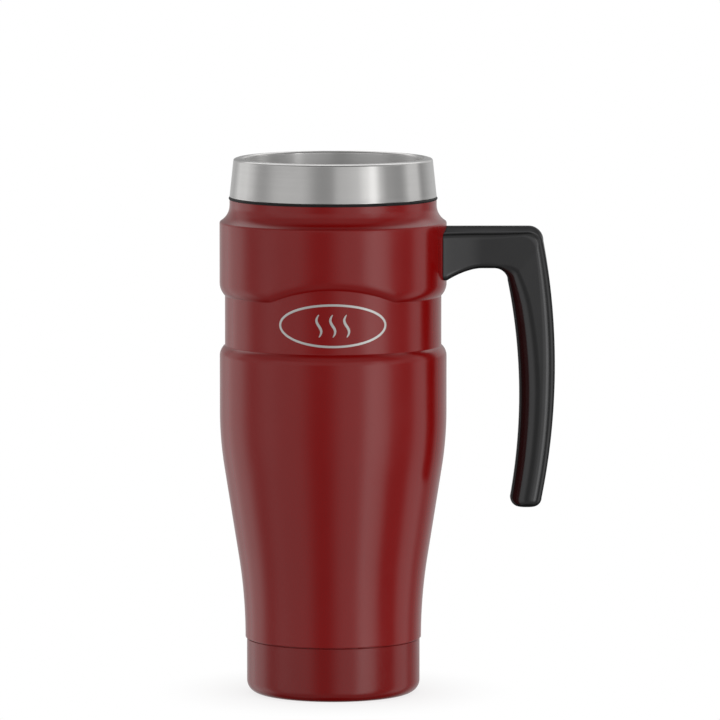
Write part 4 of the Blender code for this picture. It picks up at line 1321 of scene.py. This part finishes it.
@dataclass
class Valve(Assembly):
    """The twist dial and the plunger that it draws down."""

    palette: Palette
    dial_round: float = 0.0007
    dial_under_round: float = 0.0004
    dial_wall: float = 0.0030
    flute_count: int = 40
    flute_depth: float = 0.00035
    flute_reach: float = 0.0012
    flute_ease: float = 0.0010
    bar_height: float = 0.0040
    bar_width: float = 0.0064
    bar_margin: float = 0.0030
    bar_draft: float = 0.0006
    bar_round: float = 0.0011
    bar_root: float = 0.0010
    bar_columns: int = 96
    shaft: float = 0.0040
    shaft_edge: float = 0.0005
    shaft_columns: int = 64
    seal_width: float = 0.0031
    seal_rounds: tuple[float, ...] = (0.0002, 0.0003, 0.0011, 0.0011)
    disc_wall: float = 0.0030
    key_half_width: float = 0.00697
    sleeve_wall: float = 0.0019
    sleeve_bore: float = 0.0078
    nut_height: float = 0.0035
    nut_bore: float = 0.0044
    plunger_rounds: tuple[float, ...] = (0, 0, 0, 0.0003, 0.0008, 0.0012, 0.0006, 0.0002, 0, 0.0003)
    dial_steps: int = 9
    bar_rows: int = 10
    ring_steps: int = 8
    columns: int = 320

    def __post_init__(self) -> None:
        """Read the dial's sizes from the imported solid."""
        low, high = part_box("twist_knob")
        self.dial_radius = high.x
        self.shaft_end = low.z
        self.bar_top = high.z
        self.dial_top = high.z - self.bar_height
        self.dial_low = self.dial_top - self.dial_wall
        self.angle = full_turn(self.columns)

    def dial(self) -> Patch:
        """Dial: a turned disc with a round edge, pressed in by even flutes round that edge.

        Returns:
            The closed grid.
        """
        edge, low, top = self.dial_radius, self.dial_low, self.dial_top
        radii = (0, self.dial_under_round, self.dial_round, 0)
        outline = rounded(ring(0.0, edge, low, top), radii, self.dial_steps)
        near_edge = smooth((outline[:, 0] - edge + self.flute_reach) / self.flute_ease)
        flutes = self.flute_depth * (0.5 - 0.5 * np.cos(self.flute_count * self.angle)) ** 2
        grid = spread(outline, self.angle)
        grid[..., 0] -= near_edge[:, None] * flutes
        return Patch(turned(grid, self.angle))

    def bar(self) -> Patch:
        """Grip bar: a stadium outline that draws in as it rises and rounds over at the top.

        The outline is two half circles of radius rho about the ends, and rho shrinks with the
        draft up the side and along a quarter circle over the top edge.

        Returns:
            The closed grid.
        """
        turn = full_turn(self.bar_columns)
        end = self.dial_radius - self.bar_margin - self.bar_width / 2
        foot = self.bar_width / 2
        top = foot - self.bar_draft
        over = np.linspace(0.0, QUARTER, self.bar_rows)[1:]
        rho = np.concatenate(((foot, foot, top), top - self.bar_round * (1 - np.cos(over)), (0.0,)))[:, None]
        z = np.concatenate(((self.dial_top - self.bar_root, self.dial_top, self.bar_top - self.bar_round),
                            self.bar_top - self.bar_round * (1 - np.sin(over)), (self.bar_top,)))[:, None]
        x = np.where(np.cos(turn) >= 0, end, -end) + rho * np.cos(turn)
        return Patch(np.stack(np.broadcast_arrays(x, rho * np.sin(turn), z), axis=-1), rows_close=False)

    def stem(self) -> Patch:
        """Shaft below the dial: a turned rod with a chamfered end.

        Returns:
            The closed grid.
        """
        end, high, edge = self.shaft_end, self.dial_low + self.shaft_edge, self.shaft_edge
        side = ((self.shaft - edge, end), (self.shaft, end + edge), (self.shaft, high))
        return lathe(((0.0, end), *side, (0.0, high)), full_turn(self.shaft_columns))

    def plunger(self) -> Patch:
        """Plunger: a disc with a seat for its seal, a sleeve round the hub and a nut at its end.

        Returns:
            The closed grid.
        """
        low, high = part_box("valve_plunger")
        disc, top, end = high.y, high.z, low.z
        seat, seat_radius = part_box("valve_seal")[0].z - FIT, disc - self.seal_width
        bottom, nut = top - self.disc_wall, end + self.nut_height
        sleeve = self.key_half_width / math.cos(math.pi / 6) + self.sleeve_wall
        corners = (
            (self.sleeve_bore, top), (self.sleeve_bore, nut), (self.nut_bore, nut), (self.nut_bore, end),
            (sleeve, end), (sleeve, bottom), (disc, bottom), (disc, seat),
            (seat_radius, seat), (seat_radius, top),
        )
        return lathe(rounded(corners, self.plunger_rounds, self.ring_steps), self.angle)

    def seal(self) -> Patch:
        """Seal: a ring whose upper edges are full and round.

        Returns:
            The closed grid.
        """
        low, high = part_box("valve_seal")
        corners = ring(high.y - self.seal_width, high.y, low.z, high.z)
        return lathe(rounded(corners, self.seal_rounds, self.ring_steps), self.angle)

    def build(self) -> None:
        """Make the dial with its bar and shaft, the plunger and the seal, and dress the rest."""
        self.piece("dial", Body.KNOB, "knob_plastic", ("twist_knob",), self.dial(), self.bar(), self.stem())
        self.piece("plunger", Body.VALVE, "plunger_plastic", ("valve_plunger",), self.plunger())
        self.piece("port_seal", Body.VALVE, "seal_rubber", ("valve_seal",), self.seal())
        self.keep("knob_oring", "ring_rubber")
        self.keep("shaft_clip", "clip_steel")


@dataclass(frozen=True)
class Panel:
    """A soft upright panel of the studio, in degrees, and how much it adds to the glow or takes from it."""

    azimuth: float
    half_width: float
    edge: float
    glow: float


@dataclass(frozen=True)
class Tier:
    """One level of the studio's walls: where it takes over from the one below, its fill and its panels."""

    start: float
    full: float
    fill: float
    panels: tuple[Panel, ...] = ()


@dataclass(frozen=True)
class Lamp:
    """A soft lamp that doesn't mirror in the gloss."""

    name: str
    place: Place
    size: float
    power: float


@dataclass
class Studio:
    """Floor, soft panels all round, three lamps and the camera."""

    floor_size: float = 30.0
    floor_z: float = -0.00004
    floor_shadow: float = 0.235
    shadow_start: float = 0.02
    shadow_end: float = 0.072
    camera_lens: float = 350.7
    camera_sensor: float = 36.0
    camera_reach: float = 100.0
    camera_place: Place = (0.01017, -2.6464, 0.39554)
    camera_aim: Place = (0.01017, 0.0, 0.12674)

    TIERS = (
        Tier(-90.0, -90.0, 0.02),
        Tier(-84.0, -66.0, 0.06, (Panel(0.0, 80.0, 40.0, 0.22),)),
        Tier(-52.0, -24.0, 0.22, (
            Panel(-52.0, 14.0, 22.0, 0.43), Panel(-95.0, 12.0, 22.0, 0.19), Panel(-121.0, 10.0, 20.0, 0.66),
            Panel(180.0, 25.0, 40.0, 0.34), Panel(103.0, 7.0, 13.0, 0.62), Panel(24.0, 10.0, 22.0, 0.52),
            Panel(46.0, 6.0, 14.0, 1.10),
        )),
        Tier(-2.0, 5.0, 0.49, (
            Panel(-125.0, 7.0, 9.0, 0.26), Panel(-110.0, 4.0, 20.0, 0.05), Panel(-48.0, 10.0, 26.0, 0.23),
            Panel(152.0, 8.0, 24.0, 0.24), Panel(180.0, 10.0, 16.0, -0.14), Panel(105.0, 6.0, 8.0, 0.28),
            Panel(22.0, 16.0, 8.0, 0.20), Panel(33.0, 6.0, 14.0, 0.14), Panel(47.3, 1.0, 8.0, 0.80),
            Panel(58.0, 4.0, 20.0, 0.14),
        )),
        Tier(20.0, 34.0, 0.18, (
            Panel(-60.0, 30.0, 40.0, 0.20), Panel(30.0, 25.0, 20.0, 0.20), Panel(110.0, 20.0, 20.0, 0.25),
            Panel(180.0, 40.0, 30.0, 1.05),
        )),
        Tier(48.0, 76.0, 0.01, (Panel(180.0, 65.0, 25.0, 0.30),)),
    )
    LAMPS = (
        Lamp("key_lamp", (0.68, -0.46, 0.10), 0.5, 4.2),
        Lamp("side_lamp", (-0.76, -0.22, 0.10), 0.5, 3.0),
        Lamp("high_lamp", (0.0, -0.35, 0.75), 0.5, 0.7),
    )

    def build(self) -> None:
        """Set the view and make the floor, the light and the camera."""
        bpy.context.scene.view_settings.view_transform = "Standard"
        self.floor()
        self.light_room()
        for lamp in self.LAMPS:
            self.hang(lamp)
        self.camera()

    def floor(self) -> None:
        """Lay a pale floor that only the camera sees: white, with its own shading mixed in near the mug."""
        side = np.array((-1.0, 0.0, 1.0)) * self.floor_size / 2
        x, y = np.meshgrid(side, side, indexing="ij")
        points = np.stack((x, y, np.full_like(x, self.floor_z)), axis=-1)
        floor = make_mesh("floor", Patch(points, rows_close=False, columns_close=False))
        material = bpy.data.materials.new("pale_floor")
        material.use_nodes = True
        tree = NodeTree(material.node_tree)
        away = tree.vector("LENGTH", tree.place("Object")).outputs["Value"]
        share = tree.ease(away, self.shadow_start, self.shadow_end, self.floor_shadow, 0.0)
        white = tree.add("ShaderNodeEmission", {"Strength": 1.0}).outputs[0]
        paper = tree.add("ShaderNodeBsdfDiffuse", {"Color": (1.0, 1.0, 1.0, 1.0)}).outputs[0]
        mix = tree.add("ShaderNodeMixShader", {0: share, 1: white, 2: paper}).outputs[0]
        tree.add("ShaderNodeOutputMaterial", {"Surface": mix})
        floor.data.materials.append(material)
        floor.visible_glossy = False
        floor.visible_diffuse = False
        floor.visible_shadow = False
        floor.visible_transmission = False

    def light_room(self) -> None:
        """Light the room: tiers of panels by the angle round the axis, each taking over from the one below.

        Each panel glows fully within its half width of its own azimuth, which counts from the front
        towards the handle, and eases to nothing over its edge. The camera sees plain white.
        """
        world = bpy.data.worlds.new("studio")
        bpy.context.scene.world = world
        world.use_nodes = True
        tree = NodeTree(world.node_tree)
        ray = tree.place("Generated")
        height = tree.math("ARCSINE", tree.add("ShaderNodeSeparateXYZ", {0: ray}).outputs["Z"])
        flat = tree.vector("MULTIPLY", ray, (1.0, 1.0, 0.0)).outputs["Vector"]
        level = tree.vector("NORMALIZE", flat).outputs["Vector"]
        glow = self.tier(tree, level, self.TIERS[0])
        for tier in self.TIERS[1:]:
            share = tree.ease(height, math.radians(tier.start), math.radians(tier.full), 0.0, 1.0)
            glow = tree.mix(glow, self.tier(tree, level, tier), share)
        room = tree.add("ShaderNodeBackground", {"Color": glow, "Strength": 1.0}).outputs[0]
        white = tree.add("ShaderNodeBackground", {"Color": (1.0, 1.0, 1.0, 1.0), "Strength": 1.0}).outputs[0]
        seen = tree.add("ShaderNodeLightPath").outputs["Is Camera Ray"]
        mix = tree.add("ShaderNodeMixShader", {0: seen, 1: room, 2: white}).outputs[0]
        tree.add("ShaderNodeOutputWorld", {"Surface": mix})

    @staticmethod
    def tier(tree: NodeTree, level: Socket, tier: Tier) -> Socket:
        """Glow of one tier: its fill plus what each panel adds.

        Args:
            tree: tree to build in.
            level: level direction of the ray, of length one.
            tier: fill and panels.

        Returns:
            The glow's socket.
        """
        glow = tree.math("ADD", tier.fill, 0.0)
        for panel in tier.panels:
            azimuth = math.radians(panel.azimuth)
            facing = tree.vector("DOT_PRODUCT", level, (math.sin(azimuth), -math.cos(azimuth), 0.0))
            off = tree.math("ARCCOSINE", facing.outputs["Value"])
            inner, outer = math.radians(panel.half_width), math.radians(panel.half_width + panel.edge)
            glow = tree.math("ADD", glow, tree.ease(off, outer, inner, 0.0, panel.glow))
        return glow

    def hang(self, lamp: Lamp) -> None:
        """Hang one soft lamp, aimed at the mug.

        Args:
            lamp: its name, place, size and power.
        """
        light = bpy.data.lights.new(lamp.name, "AREA")
        light.energy = lamp.power
        light.size = lamp.size
        item = bpy.data.objects.new(lamp.name, light)
        item.visible_glossy = False
        self.point(item, lamp.place)

    def camera(self) -> None:
        """Stand the camera far off with a long lens, a little above the mug."""
        data = bpy.data.cameras.new("camera")
        data.lens = self.camera_lens
        data.sensor_width = self.camera_sensor
        data.clip_end = self.camera_reach
        camera = bpy.data.objects.new("camera", data)
        self.point(camera, self.camera_place)
        bpy.context.scene.camera = camera

    def point(self, item: Item, place: Place) -> None:
        """Put a lamp or camera in its place, turned so that its -Z looks at the aim.

        Args:
            item: lamp or camera object.
            place: where it stands.
        """
        bpy.context.scene.collection.objects.link(item)
        item.location = place
        sight = Vector(self.camera_aim) - Vector(place)
        item.rotation_euler = sight.to_track_quat("-Z", "Y").to_euler()


def main() -> None:
    """Dress the mug from the foot to the lid, light it and note the size of the result."""
    logging.basicConfig(level=logging.INFO, format="%(name)s: %(message)s")
    palette = Palette()
    vessel = Vessel(palette)
    vessel.build()
    Badge(palette, vessel.waist_radius, vessel.ridge_z).build()
    Handle(palette, vessel.body_radius).build()
    Lid(palette).build()
    Valve(palette).build()
    Studio().build()
    bpy.context.view_layer.update()


if __name__ == "__main__":
    main()
